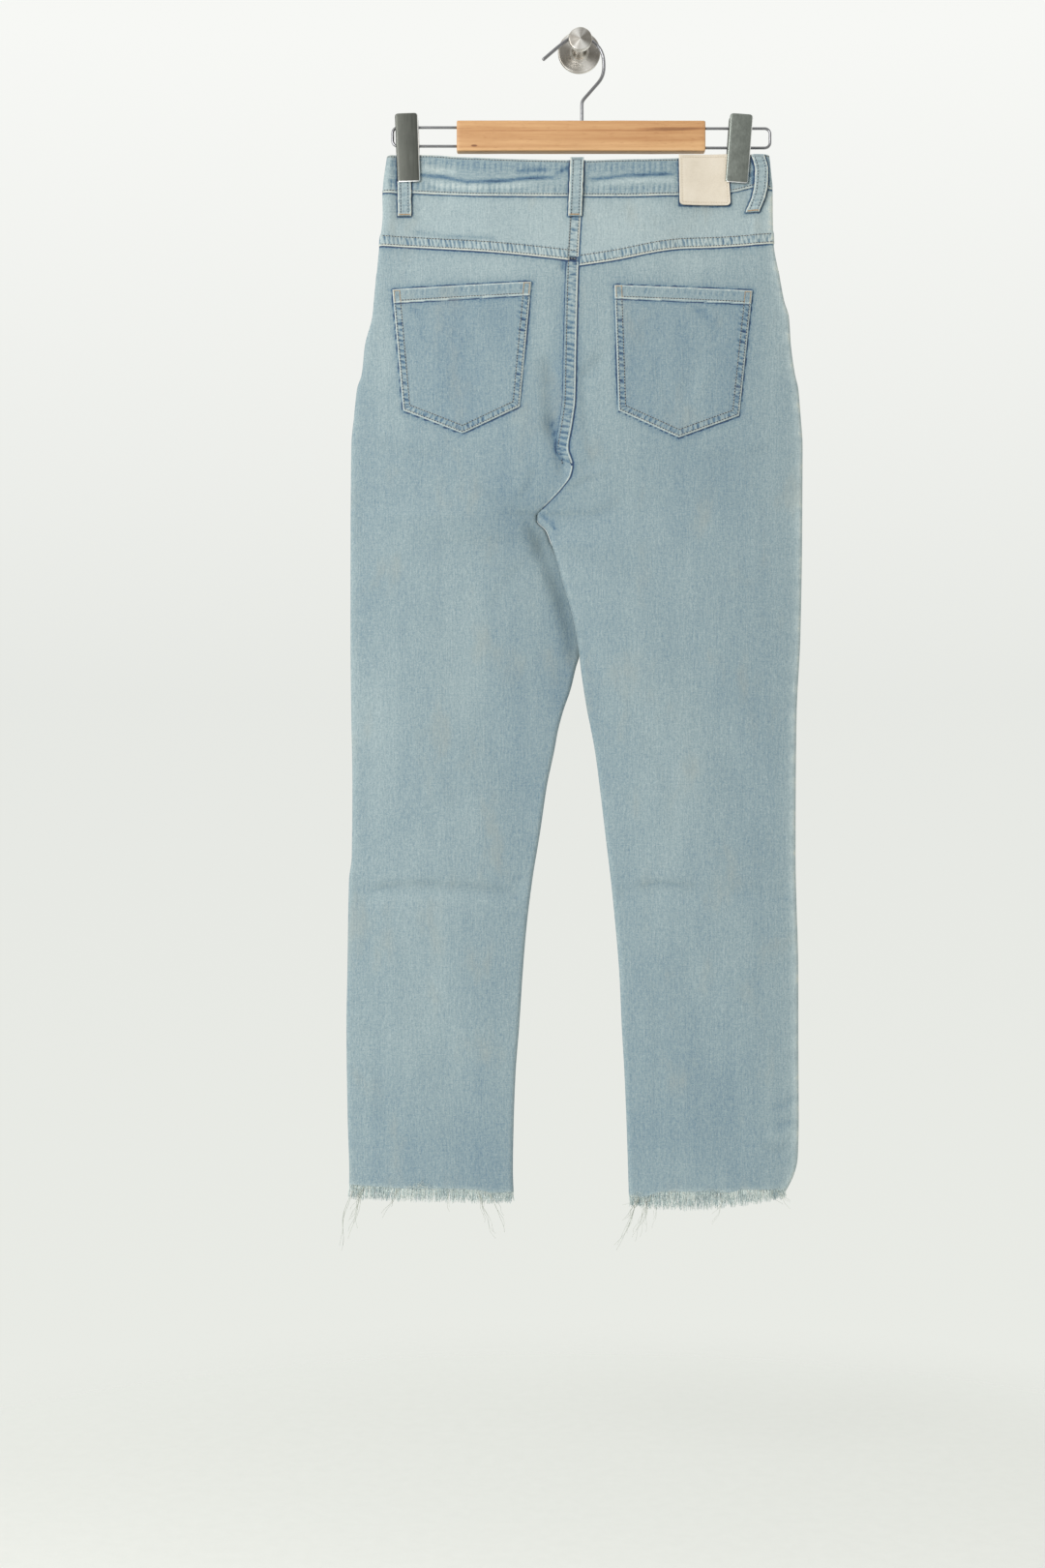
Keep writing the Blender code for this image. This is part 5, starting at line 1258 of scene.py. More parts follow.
def back_pocket(side, stuffs):
    outline = BACK_POCKETS[side]
    (left_top, right_top), (left_low, tip, right_low) = outline["top"], outline["low"]
    tip_share = (tip[0] - left_low[0]) / (right_low[0] - left_low[0])
    width, height = 120.0, 118.0
    hem_rows = (11.6, 12.4, 12.9, 13.3, 13.8, 14.6, 16.0)
    levels = shares_of(height, 8, np.arange(6, 11, 1.5), hem_rows, np.arange(18.5, height - 8, 2.6))
    share, level = np.meshgrid(shares_of(width, 9, np.arange(8, width - 8, 2.6)), levels)
    low = np.where(share < tip_share, mix(left_low[1], tip[1], share / tip_share),
                   mix(tip[1], right_low[1], (share - tip_share) / (1 - tip_share)))
    top = mix(left_top[1], right_top[1], share)
    x = mix(mix(left_top[0], left_low[0], level), mix(right_top[0], right_low[0], level), share)
    down = mix(top, low, level)
    away, along = to_line(x, down, pocket_outline(side))
    from_top = down - top
    hem = 1 - ease((from_top - POCKET_HEM + 0.9) / 1.1)
    lift = 1.5 + 0.55 * hem + 0.25 * uneven(x * 0.09 + down * 0.05, 3) * ease(away / 12)
    lift = lift + 0.16 * uneven(along * 330, 5) * np.exp(-((away - 4) / 3) ** 2)
    rise = lift * quarter_round(away / 0.9) - 0.2 * (1 - quarter_round(away / 0.3))
    inside = ease((away - 1.2) / 1.0) * (1 - ease((away - 6.2) / 1.4))
    border = np.where(from_top < POCKET_HEM, 0.35 * ease((from_top - 1.5) / 2), 1.15)
    rope = np.stack([along * 480, away, inside * border], axis=-1)
    below = from_top - POCKET_HEM
    dents, dye_and_shade, _ = creases("pockets", x, down)
    marks = {"wash_and_shade": -0.085 + 0.05 * hem + 0.03 * uneven(x * 0.05, 2) - dye_and_shade,
             "fold": np.minimum(away, np.where(below < 0, -below, FAR)),
             "under": np.where(below > 0, below * 1.2, FAR)}
    made = shell(f"cloth_pocket_{side}", surface("back", side, x, down), "back", 0.1, stuffs,
                 [f"back_pocket_{side}"], pairs(x, down), rise=rise + dents * ease(away / 4), marks=marks,
                 rope=rope)
    sheet(made, 132, 144)


def belt_loop(name, stuffs):
    face, _, route = BELT_LOOPS[name]
    top, bottom = loop_ends(name)
    half, length = LOOP_WIDTH / 2, bottom - top
    offsets = np.concatenate([-half + EDGE[:7], (-1.6, 0.0, 1.6), half - EDGE[:7][::-1]])
    offset, level = np.meshgrid(offsets, shares_of(length, 7, np.arange(4.5, length - 4, 1.5)))
    down = mix(top, bottom, level)
    x = read(route, "down", "x", down) + offset
    x += 0.25 * uneven(down * 0.33, len(name)) * np.abs(offset) / half
    ends = np.minimum(level, 1 - level) * length
    beside = half - np.abs(offset)
    away = np.minimum(beside, ends)
    rise = 0.22 * uneven(down * 0.5, 3) * ease(away / 2) - 0.9 * (1 - quarter_round(away / 0.9))
    rise += 0.25 * (1 - ease((beside - 1.8) / 1.2))
    rise -= 0.35 * np.exp(-((ends - 5.5) / 1.4) ** 2)
    marks = {"wash_and_shade": 0.02 * uneven(down * 0.3, 5), "fold": beside + 0.2}
    rope = np.stack([down, offset * 0.5, np.full(down.shape, 0.30)], axis=-1)
    made = shell(f"cloth_{name}", loop_surface(name, x, down), face, LOOP_CLOTH, stuffs, [name],
                 pairs(x, down), rise=rise, marks=marks, rope=rope)
    sheet(made, LOOP_WIDTH + 0.6, length + 2)


def waist_patch(stuffs):
    a, b, c, d = (np.array(corner) for corner in PATCH_CORNERS)
    size = 46.0
    near = shares_of(size, 8, np.arange(6, size - 5.5, 2.0))
    share, level = np.meshgrid(near, near)
    # The lower corners are rounded: the outer rows and columns are drawn in towards them.
    corner = 4.0 / size
    for wall in (0.0, 1.0):
        beside, beneath = np.abs(share - wall), 1 - level
        deep = (beside < corner) & (beneath < corner)
        pull = np.hypot(corner - beside, corner - beneath) / corner
        excess = np.where(deep & (pull > 1), 1 / np.maximum(pull, 1e-6), 1.0)
        share = np.where(deep, np.abs(wall - corner) + (share - np.abs(wall - corner)) * excess, share)
        level = np.where(deep, (1 - corner) + (level - (1 - corner)) * excess, level)
    x, down = (mix(mix(a[k], b[k], share), mix(d[k], c[k], share), level) for k in (0, 1))
    away = np.minimum(np.minimum(share, 1 - share), np.minimum(level, 1 - level)) * size
    rise = 0.12 * uneven(x * 0.12 + down * 0.07, 4) - 0.35 * (1 - quarter_round(away / 0.7))
    rise -= 0.25 * np.exp(-((away - 2.4) / 0.8) ** 2)
    made = shell("sewn_patch", patch_surface(x, down, level), "back", LEATHER, stuffs, ["waist_patch"],
                 pairs(x, down), rise=rise)
    sheet(made, 47, 47)


def turned_points(profile, sides, centre, sign):
    """Points and faces of a profile of (radius, distance out) turned round an axis along y."""
    angles = np.arange(sides) * 2 * math.pi / sides
    radius, out = np.array(profile).T[..., None]
    rings = np.stack(np.broadcast_arrays(centre[0] + radius * np.cos(angles), centre[1] + sign * out,
                                         centre[2] + radius * np.sin(angles)), axis=-1)
    return rings.reshape(-1, 3), tube_faces(1, len(profile), sides)


def closed(mesh):
    """Faces turned outwards."""
    work = bmesh.new()
    work.from_mesh(mesh)
    bmesh.ops.recalc_face_normals(work, faces=work.faces)
    if work.calc_volume(signed=True) < 0:
        bmesh.ops.reverse_faces(work, faces=work.faces)
    work.to_mesh(mesh)
    work.free()
    return mesh


def solid(name, points, faces, sharp, stuff, node):
    piece(name, closed(mesh_of(name, points, faces, sharp)), [stuff], [node])


def waist_button():
    x = FRONT_CENTRE - 15.0
    down = float((read(BAND_TOP, "x", "down", x) + band_line(x)) / 2)
    around = [(dx, dz) for dx in (-9, 0, 9) for dz in (-9, 0, 9)]
    y = max(float(band_surface("front", np.array(x + dx), np.array(down + dz))[1]) for dx, dz in around)
    profile = [(3.0, -0.6), (3.0, 0.5), (6.9, 0.6), (8.0, 0.9), (8.5, 1.5), (8.3, 2.2), (7.7, 2.7),
               (6.9, 2.8), (6.2, 2.5), (5.8, 2.3), (4.6, 2.4), (2.4, 2.6), (1.1, 2.7), (0.4, 2.7)]
    points, faces = turned_points(profile, 48, (x, y + GAP, -down), 1.0)
    stuff = steel("aged button metal", (0.36, 0.27, 0.17), 0.34, (500, 500, 500), wear=0.25)
    solid("waist_button_turned", points, faces, 40, stuff, "waist_button")


# ---------------------------------------------------------------- sewing

# Rings of one bead: place along it, share of its radius, and rise. Then how high it is for its width.
STITCH_SHAPE = (((-0.5, 0.0, -0.30), (-0.40, 0.72, -0.02), (-0.14, 1.0, 0.14), (0.14, 1.0, 0.14),
                 (0.40, 0.72, -0.02), (0.5, 0.0, -0.30)), 0.85)
HOLE_SHAPE = (((-0.5, 0.0, -0.05), (-0.28, 1.0, 0.06), (0.28, 1.0, 0.06), (0.5, 0.0, -0.05)), 0.2)


class Sewing:
    """Rows of stitches on the garment: raised beads of thread with a dark bead after each, painted shade
    where the thread dips into its needle hole.
    """

    def __init__(self):
        self.beads = []

    def row(self, base, face, line, lift, pitch=STITCH_PITCH, length=STITCH_LENGTH, radius=STITCH_RADIUS,
            thread=PALE, holes=True):
        line = np.array(line, float)
        reached = lengths_along(line)
        x, down = (np.interp(np.arange(0, reached[-1], 0.45), reached, line[:, k]) for k in (0, 1))
        place = base(x, down)
        along_x = base(x + 0.6, down) - base(x - 0.6, down)
        along_down = base(x, down + 0.6) - base(x, down - 0.6)
        normal = unit(np.cross(along_x, along_down))
        normal = normal * np.sign(normal[:, 1:2] * SIGN[face])
        place = place + normal * lift
        run = lengths_along(place)
        count = int(run[-1] / pitch)
        if count < 1:
            return
        beads = [(0.5, length, radius, thread)]
        if holes:
            beads.append((1.0, HOLE_LENGTH, HOLE_RADIUS, HOLE_SHADE))
        for part, long, wide, kind in beads:
            at = (np.arange(count) + part) * pitch
            centre, before, after, out = (
                np.stack([np.interp(spot, run, source[:, k]) for k in range(3)], axis=-1)
                for spot, source in ((at, place), (at - 0.8, place), (at + 0.8, place), (at, normal)))
            self.beads.append((centre, unit(after - before), unit(out), long, wide, kind))

    def mesh(self, name, threads):
        """One mesh of all the beads."""
        points, faces, kinds, base = [], [], [], 0
        for centre, way, out, length, radius, kind in self.beads:
            side = np.cross(way, out)
            rings, high = HOLE_SHAPE if kind == HOLE_SHADE else STITCH_SHAPE
            shape = []
            for along, wide, up in rings:
                for k in range(BEAD_SIDES if wide else 1):
                    angle = 2 * math.pi * k / BEAD_SIDES
                    shape.append(centre + way * along * length + side * radius * wide * math.cos(angle)
                                 + out * (radius * wide * high * math.sin(angle) + up))
            shape = np.stack(shape, axis=1)
            template = bead_faces(len(rings))
            for _ in centre:
                faces.extend([tuple(corner + base for corner in face) for face in template])
                base += shape.shape[1]
            kinds.extend([kind] * (len(template) * len(centre)))
            points.append(shape.reshape(-1, 3))
        piece(name, mesh_of(name, np.concatenate(points), faces, 180, kinds), threads)


def bead_faces(rings):
    """Faces of one bead: a tip, rings of BEAD_SIDES points, a tip."""
    last = 1 + (rings - 2) * BEAD_SIDES
    faces = []
    for k in range(BEAD_SIDES):
        n = (k + 1) % BEAD_SIDES
        faces.append((0, 1 + k, 1 + n))
        for ring in range(rings - 3):
            a = 1 + ring * BEAD_SIDES
            faces.append((a + k, a + BEAD_SIDES + k, a + BEAD_SIDES + n, a + n))
        faces.append((last, last - BEAD_SIDES + n, last - BEAD_SIDES + k))
    return faces


def sew_band(work, face):
    """Rows beside the waistband's top edge and its seam."""
    first, last = -180.4, 176.9
    gap = (FRONT_CENTRE - 1.6, FRONT_CENTRE + 1.4)
    for ends in [(first, last)] if face == "back" else [(first, gap[0]), (gap[1], last)]:
        x = np.linspace(*ends, 240)
        for source, shift in ((BAND_TOP, 1.9), (BAND_SEAM, -2.1)):
            down = read(source, "x", "down", x) + shift
            true_x = np.clip(band_x(x, down), outer_edge("left", down) + 0.3, outer_edge("right", down) - 0.3)
            work.row(partial(band_surface, face), face, pairs(true_x, down), 0.08)


def sew_yokes(work):
    for side, ends in (("left", (-188.0, -2.0)), ("right", (-1.0, 181.5))):
        x = np.linspace(*ends, 160)
        for shift in (1.7, FELL_WIDTH - 1.4):
            down = yoke_line(side, x) - shift
            keep = (x > outer_edge("left", down) + 0.4) & (x < outer_edge("right", down) - 0.4)
            if side == "left":
                keep &= x < seat_seam(down) - 0.8
            work.row(partial(surface, "back", side), "back", pairs(x, down)[keep], FELL_RISE + 0.05)


def sew_seat(work, face):
    """Rows along the seat's felled seam at the back, or below the fly in front."""
    first, last, edge, rise = (146.0, STRIP_END - 3, FELL_WIDTH - 1.4, FELL_RISE)
    if face == "front":
        first, last, edge, rise = (330.0, 435.0, 6.6, FELL_RISE + 0.3)
    down = np.linspace(first, last, 200)
    lift = rise * above_crotch(down) + 0.05

    def base(bx, bdown):
        place = surface(face, "left", bx, bdown)
        place[..., 1] += SIGN[face] * np.interp(bdown, down, lift)
        return place

    for shift in (1.7, edge):
        x = seat_seam(down) - shift
        on_yoke_seam = np.abs(down - yoke_line("left", x) + 1.0) < 0.5
        work.row(base, face, pairs(x, down)[~on_yoke_seam], 0.0)


def inset_line(points, distance):
    """A polyline moved sideways by a distance, its corners kept."""
    points = np.array(points, float)
    ways = unit(np.diff(points, axis=0))
    sides = np.stack([-ways[:, 1], ways[:, 0]], axis=-1)
    moved = [points[0] + sides[0] * distance]
    for k in range(1, len(points) - 1):
        middle = unit(sides[k - 1] + sides[k])
        moved.append(points[k] + middle * distance / max(0.3, float(np.dot(middle, sides[k]))))
    moved.append(points[-1] + sides[-1] * distance)
    return np.array(moved)


def sew_pockets(work):
    for side in ("left", "right"):
        def base(x, down, lift, side=side):
            return surface("back", side, x, down) - np.array((0, lift, 0))

        on_pocket, on_hem = partial(base, lift=1.5), partial(base, lift=2.05)
        outline = BACK_POCKETS[side]
        (left, right), (low_left, tip, low_right) = outline["top"], outline["low"]
        for distance in (1.6, 6.7):
            line = inset_line((left, low_left, tip, low_right, right), -distance)
            work.row(on_pocket, "back", line, 0.12)
        share = np.linspace(0.055, 0.945, 60)
        x, down = mix(left[0], right[0], share), mix(left[1], right[1], share) + 10.9
        work.row(on_hem, "back", pairs(x, down), 0.1)
        for corner, low, turn in ((left, low_left, 1), (right, low_right, -1)):
            corner = np.array(corner)
            way = unit(np.array(low, float) - corner)
            for offset in (1.6, 6.9):
                top = corner + np.array((turn * offset, 0.9))
                work.row(on_hem, "back", np.stack([top, top + way * 12.0]), 0.12, pitch=1.25, length=1.1,
                         radius=0.42, thread=TAN, holes=False)
            line = corner + np.array(((turn * 1.2, 1.5), (turn * 7.3, 1.5)))
            work.row(on_hem, "back", line, 0.12, pitch=1.1, length=1.0, radius=0.40, thread=TAN, holes=False)


def sew_loops(work, face):
    for name, loop in BELT_LOOPS.items():
        if loop[0] != face:
            continue
        base = partial(loop_surface, name)
        top, bottom = loop_ends(name)
        down = np.linspace(top + 1.0, bottom - 1.0, 60)
        middle = read(loop[2], "down", "x", down)
        for offset in (-3.5, 3.5):
            work.row(base, face, pairs(middle + offset, down), 0.16, radius=0.30, thread=GREY)
        for at, thread in ((top + 1.6, GREY), (bottom - 1.4, TAN)):
            x = read(loop[2], "down", "x", np.array(at)) + np.array((-5.4, 5.4))
            for shift in (0.0, 0.5):
                work.row(base, face, pairs(x, np.full(2, at + shift)), 0.16, pitch=1.2, length=1.1,
                         radius=0.42, thread=thread, holes=False)


def sew_patch(work):
    def base(x, down):
        return patch_surface(x, down, np.clip((down - 106) / 46, 0, 1))

    corners = np.array(PATCH_CORNERS)
    centre = corners.mean(axis=0)
    inset = centre + (corners - centre) * (1 - 2.4 / 23)
    line = np.concatenate([inset, inset[:1]])
    work.row(base, "back", line, -0.08, pitch=2.4, length=1.7, radius=0.24, thread=OF_PATCH, holes=False)


def sew_front(work):
    for scale in (1.0, 0.8):
        work.row(partial(surface, "front", "left"), "front", fly_stitch(scale), 0.38)
    for side in ("left", "right"):
        drops = np.linspace(1.0, SCOOP_HEIGHT - 2, 90)
        down = float(band_line(outer_edge(side, 141))) + drops
        reach = SCOOP_WIDTH * np.sqrt(1 - (drops / SCOOP_HEIGHT) ** 2)
        edge = pairs(outer_edge(side, down) + INWARD[side] * reach, down)
        for shift in (1.7, 7.2):
            work.row(partial(surface, "front", side), "front", inset_line(edge, shift * -INWARD[side]), 0.38)
    lap = pairs(np.full(20, FRONT_CENTRE - 1.9), np.linspace(113, 143, 20))
    work.row(partial(band_surface, "front"), "front", lap, 0.1)


# ---------------------------------------------------------------- frayed hems

FRAY_SIDES = 3
FRINGE_COUNT = 640
FRINGE_BUNCH = 1.9      # the strands gather into bunches this far apart
FRAY_POINTS = 6         # along a short thread
LONG_POINTS = 16
WEFT_ENDS, WEFT_RUNS = 150, 34   # loose weft threads that stick out of each hem edge, and that run along it


def threads_mesh(name, strands, stuffs, nodes=()):
    """Thin tapering threads, each a path and a radius, as one mesh. The paths are equally long lists."""
    paths, radii = (np.array(part, float) for part in zip(*strands))
    threads, count = paths.shape[:2]
    way = unit(np.gradient(paths, axis=1))
    side = unit(np.cross(way, np.array((0.35, 0.93, 0.1))))
    out = np.cross(way, side)
    taper = np.linspace(1.0, 0.55, count)[None, :, None]
    rings = []
    for k in range(FRAY_SIDES):
        angle = 2 * math.pi * k / FRAY_SIDES
        rings.append(paths + (side * math.cos(angle) + out * math.sin(angle)) * radii[:, None, None] * taper)
    points = np.stack(rings, axis=2).reshape(-1, 3)
    mesh = mesh_of(name, points, tube_faces(threads, count, FRAY_SIDES), 180)
    tints = np.repeat(RANDOM.uniform(0, 1, threads), count * FRAY_SIDES)
    mesh.attributes.new("tint", "FLOAT", "POINT").data.foreach_set("value", tints)
    piece(name, mesh, stuffs, nodes)


def hem_point(side, face, x, drop):
    """Points below the cut edge, on the middle of the cloth's thickness."""
    place = surface(face, side, x, hem_line(side, x))
    place[..., 1] -= SIGN[face] * DENIM / 2
    place[..., 2] -= drop
    return place


def hem_fringe(side, stuffs):
    """Dense short threads all round the hem, loose weft threads along it, and small tufts."""
    strands = []
    t = np.linspace(0, 1, FRAY_POINTS)
    bottom = hem_line(side, -140.0 if side == "left" else 120.0)
    ends = sorted((float(outer_edge(side, bottom)), float(inner_edge(side, bottom))))

    def within(x, margin=0.3):
        return np.clip(x, ends[0] + margin, ends[1] - margin)

    for face, seed in (("back", 3), ("front", 8)):
        spread = (np.arange(FRINGE_COUNT) + RANDOM.uniform(-0.4, 0.4, FRINGE_COUNT)) / FRINGE_COUNT
        x = mix(ends[0] + 0.4, ends[1] - 0.4, spread)
        x = within(x + 0.45 * np.sin(2 * math.pi * x / FRINGE_BUNCH + 3 * uneven(x * 0.3, 4)), 0.4)
        clumps = 0.5 + 0.5 * uneven(x * 0.55, seed)
        hang = read(HEMS[side], "x", "fray", x) - hem_line(side, x)
        length = hang * (0.88 + 0.14 * clumps) * RANDOM.uniform(0.80, 1.08, FRINGE_COUNT)
        drift = 1.7 * uneven(x * 0.8, 5) + RANDOM.normal(0, 0.9, FRINGE_COUNT)
        outwards = RANDOM.normal(0, 0.55, FRINGE_COUNT)
        curl = RANDOM.normal(0, 0.55, (FRINGE_COUNT, 2))
        for k in range(FRINGE_COUNT):
            path = hem_point(side, face, np.full(FRAY_POINTS, x[k]), -1.2 + t * (length[k] + 1.2))
            path[:, 0] += drift[k] * t ** 1.5 + curl[k, 0] * np.sin(5 * t)
            path[:, 1] += outwards[k] * t + curl[k, 1] * np.sin(4 * t) * t
            strands.append((path, RANDOM.uniform(0.13, 0.30)))
        for _ in range(WEFT_ENDS):
            at, reach = RANDOM.uniform(*ends), RANDOM.uniform(2.0, 4.5)
            path = hem_point(side, face, within(at + t * RANDOM.normal(0, 3.0)),
                             RANDOM.uniform(0, 2.5) - t * reach * RANDOM.uniform(-0.2, 0.8))
            path[:, 1] += SIGN[face] * (0.7 + 0.5 * np.sin(3 * t))
            strands.append((path, 0.12))
        for _ in range(WEFT_RUNS):
            at, reach = RANDOM.uniform(*ends), RANDOM.uniform(9, 30)
            drop = RANDOM.uniform(0.6, 7.0)
            drop = drop + 2.0 * np.sin(math.pi * t) * RANDOM.uniform(-0.3, 1.0) + 0.5 * np.sin(9 * t + at)
            path = hem_point(side, face, within(at + (t - 0.5) * reach), drop)
            path[:, 1] += RANDOM.normal(0, 0.5)
            strands.append((path, 0.17))
    for at_x, at_down, spread, count in TUFTS[side]:
        for _ in range(count):
            turn, reach = RANDOM.uniform(-math.pi, math.pi), RANDOM.uniform(2.5, 6.5)
            x = within(at_x + RANDOM.normal(0, spread) + reach * t * np.cos(turn + 1.6 * t))
            down = at_down + RANDOM.normal(0, 1.2) + reach * 0.7 * t * np.sin(turn + 1.6 * t)
            path = hem_point(side, "back", x, down - hem_line(side, x))
            path[:, 1] -= 0.8 + 0.6 * t
            strands.append((path, 0.16))
    threads_mesh(f"fraying_{side}", strands, stuffs, [f"hem_fringe_{side}"])


def long_threads(side, stuffs):
    """The few long threads that hang far below the hem, in loose twisted groups."""
    rows = LONG_THREADS[side]
    strands = []
    t = np.linspace(0, 1, LONG_POINTS)
    for root_x, tip, down, bow, out in zip(*(rows[key] for key in ("root", "tip", "down", "bow", "out"))):
        for twin in range(3):
            root = hem_point(side, "back", np.array(root_x + twin * 0.5), np.array(0.0))
            fall = down - float(hem_line(side, root_x)) - twin * RANDOM.uniform(2, 9)
            x = root_x + (tip - root_x) * t ** 1.2 + bow * np.sin(math.pi * t) * RANDOM.uniform(0.6, 1.2)
            x += RANDOM.uniform(0.8, 2.2) * np.sin(t * RANDOM.uniform(6, 13) + twin) * t
            y = root[1] + (out + RANDOM.normal(0, 0.5)) * 2.2 * t + 0.8 * np.sin(t * 7 + bow)
            strands.append((np.stack([x, y, root[2] - t * fall], axis=-1), RANDOM.uniform(0.18, 0.30)))
    threads_mesh(f"long_threads_{side}", strands, stuffs)


# ---------------------------------------------------------------- hanger, clips and wall knob

HANGER_Y = -25.0
BAR_LEFT, BAR_RIGHT = -114.7, 116.7
BAR_TOP, BAR_BOTTOM = 72.8, 101.1
BAR_DEPTH = 12.0
BAR_ROUNDING = 1.3
WIRE_RADIUS = 1.6
WIRE_SIDES = 20
CLIP_WIRE_DOWN = {"left": (77.9, 95.3), "right": (78.8, 96.9)}
CLIP_WIRE_END = {"left": -174.6, "right": 177.4}
CLIP_WIRE_CORNER = 5.0
IN_WOOD = 2.0          # how far a wire runs into its hole
CLIP_PLATE = 1.0
CLIP_FLANGE = 3.2
CLIP_FOLD = 1.3
CLIP_CORNER = 2.2
# Along a clip's plate: share of its length, half the clip's depth, and how much of the flange is left.
CLIP_SHAPE = table("share half flange", (0.0, 8.6, 1.0), (0.55, 7.9, 1.0), (0.7, 7.6, 0.15), (1.0, 7.1, 0.12))
# The bright line along a clip's edges is a painted highlight.
CLIP_PAINTED_SHINE = 0.9      # width of the bright line along a clip's edges
SPRING_RADIUS = 2.9
SPRING_WIRE = 0.48
SPRING_LENGTH = 12.6
SPRING_TURNS = 10
HOOK_ROUTE = ((1.9, 75.0), (1.9, 69.0), (1.9, 63.0), (1.9, 57.5), (2.2, 54.4), (3.6, 51.6), (8.0, 46.5),
              (13.0, 40.8), (17.2, 36.0), (19.8, 32.2), (21.6, 27.6), (22.4, 21.2), (21.7, 12.0), (18.9, 4.8),
              (14.8, 0.2), (8.9, -4.2), (2.0, -6.9),
              (-2.2, -7.3), (-8.0, -6.0), (-13.9, -2.2), (-21.5, 3.6), (-28.5, 9.6), (-34.1, 14.4))
PLATE_RADIUS, PLATE_DEPTH = 20.0, 3.2
KNOB_DEPTH = 42.0
STEM_RADIUS = 5.4
CAP_RADIUS = 11.0
CAP_DEPTH = 7.0
TURNED_SIDES = 96


def smooth_route(points, per_span):
    """Points of a smooth curve through a route's own points."""
    points = np.array(points, float)
    padded = np.concatenate([points[:1], points, points[-1:]])
    t = np.arange(per_span)[:, None] / per_span
    spans = []
    for before, a, b, after in zip(padded, padded[1:], padded[2:], padded[3:]):
        spans.append(0.5 * (2 * a + (b - before) * t + (2 * before - 5 * a + 4 * b - after) * t ** 2
                            + (3 * a - before - 3 * b + after) * t ** 3))
    return np.concatenate(spans + [points[-1:]])


def wire(name, route, radius, reference, stuff, node, sides=WIRE_SIDES, sharp=50):
    """A round wire with domed ends; reference is never along the wire."""
    route, reference = np.array(route, float), np.array(reference, float)
    way = unit(np.gradient(route, axis=0))
    side = unit(np.cross(way, reference))
    out = np.cross(side, way)
    angles = np.arange(sides) * 2 * math.pi / sides
    first = [(-math.cos(a) * radius * 0.6, math.sin(a)) for a in (0.25, 0.6, 1.0)]
    stations = [(route[0] + way[0] * along, side[0], out[0], share) for along, share in first]
    stations += [(*row, 1.0) for row in zip(route, side, out)]
    stations += [(route[-1] - way[-1] * along, side[-1], out[-1], share) for along, share in first[::-1]]
    rings = [at + (np.cos(angles)[:, None] * across + np.sin(angles)[:, None] * up) * radius * share
             for at, across, up, share in stations]
    solid(name, np.concatenate(rings), tube_faces(1, len(rings), sides), sharp, stuff, node)


def hanger_bar(stuff):
    """A planed bar with eased edges, slightly uneven as sanded wood is."""
    half_depth, half_height = BAR_DEPTH / 2, (BAR_BOTTOM - BAR_TOP) / 2
    around = []
    for corner, (across, up) in enumerate(((1, 1), (-1, 1), (-1, -1), (1, -1))):
        for step in range(5):
            angle = math.pi / 2 * (corner + step / 4)
            around.append((across * (half_depth - BAR_ROUNDING) + BAR_ROUNDING * math.cos(angle),
                           up * (half_height - BAR_ROUNDING) + BAR_ROUNDING * math.sin(angle)))
    section = np.array(around)
    eased = np.array([(0.0, 1.0), (0.25, 0.55), (0.65, 0.2), (1.3, 0.0)])
    length = BAR_RIGHT - BAR_LEFT
    stations = np.concatenate([eased[:, 0], np.linspace(4, length - 4, 60), length - eased[::-1, 0]])
    inset = np.concatenate([eased[:, 1], np.zeros(60), eased[::-1, 1]])
    rings = []
    for at, drawn_in in zip(stations, inset):
        wave = 0.06 * uneven(section[:, 0] * 0.4 + at * 0.05, 3)
        wave = wave + 0.05 * uneven(section[:, 1] * 0.3 + at * 0.03, 6)
        shrink = (drawn_in + wave) / half_height
        ring = section * (1 - np.stack([shrink * half_height / half_depth, shrink], axis=-1))
        rings.append(np.stack([np.full(len(ring), BAR_LEFT + at), HANGER_Y + ring[:, 0],
                               ring[:, 1] - (BAR_TOP + BAR_BOTTOM) / 2], axis=-1))
    solid("planed_bar", np.concatenate(rings), tube_faces(1, len(rings), len(section)), 50, stuff,
          "hanger_bar")


def clip_wire(side, stuff):
    """A flat loop of wire out of the bar's end and back into it."""
    end, inward = CLIP_WIRE_END[side], INWARD[side]
    bar_end = BAR_LEFT + IN_WOOD if side == "left" else BAR_RIGHT - IN_WOOD
    high, low = (-down for down in CLIP_WIRE_DOWN[side])
    route = [(x, HANGER_Y, high) for x in np.linspace(bar_end, end + inward * (CLIP_WIRE_CORNER + 3), 8)]
    for centre_z, first in ((high - CLIP_WIRE_CORNER, 0), (low + CLIP_WIRE_CORNER, 1)):
        for k in range(9):
            angle = math.pi / 2 * (first + k / 8)
            route.append((end + inward * CLIP_WIRE_CORNER * (1 - math.sin(angle)), HANGER_Y,
                          centre_z + CLIP_WIRE_CORNER * math.cos(angle)))
    route += [(x, HANGER_Y, low) for x in np.linspace(end + inward * (CLIP_WIRE_CORNER + 3), bar_end, 8)]
    wire(f"bent_wire_{side}", route, WIRE_RADIUS * 0.82, (0, 1, 0), stuff, f"clip_wire_{side}")


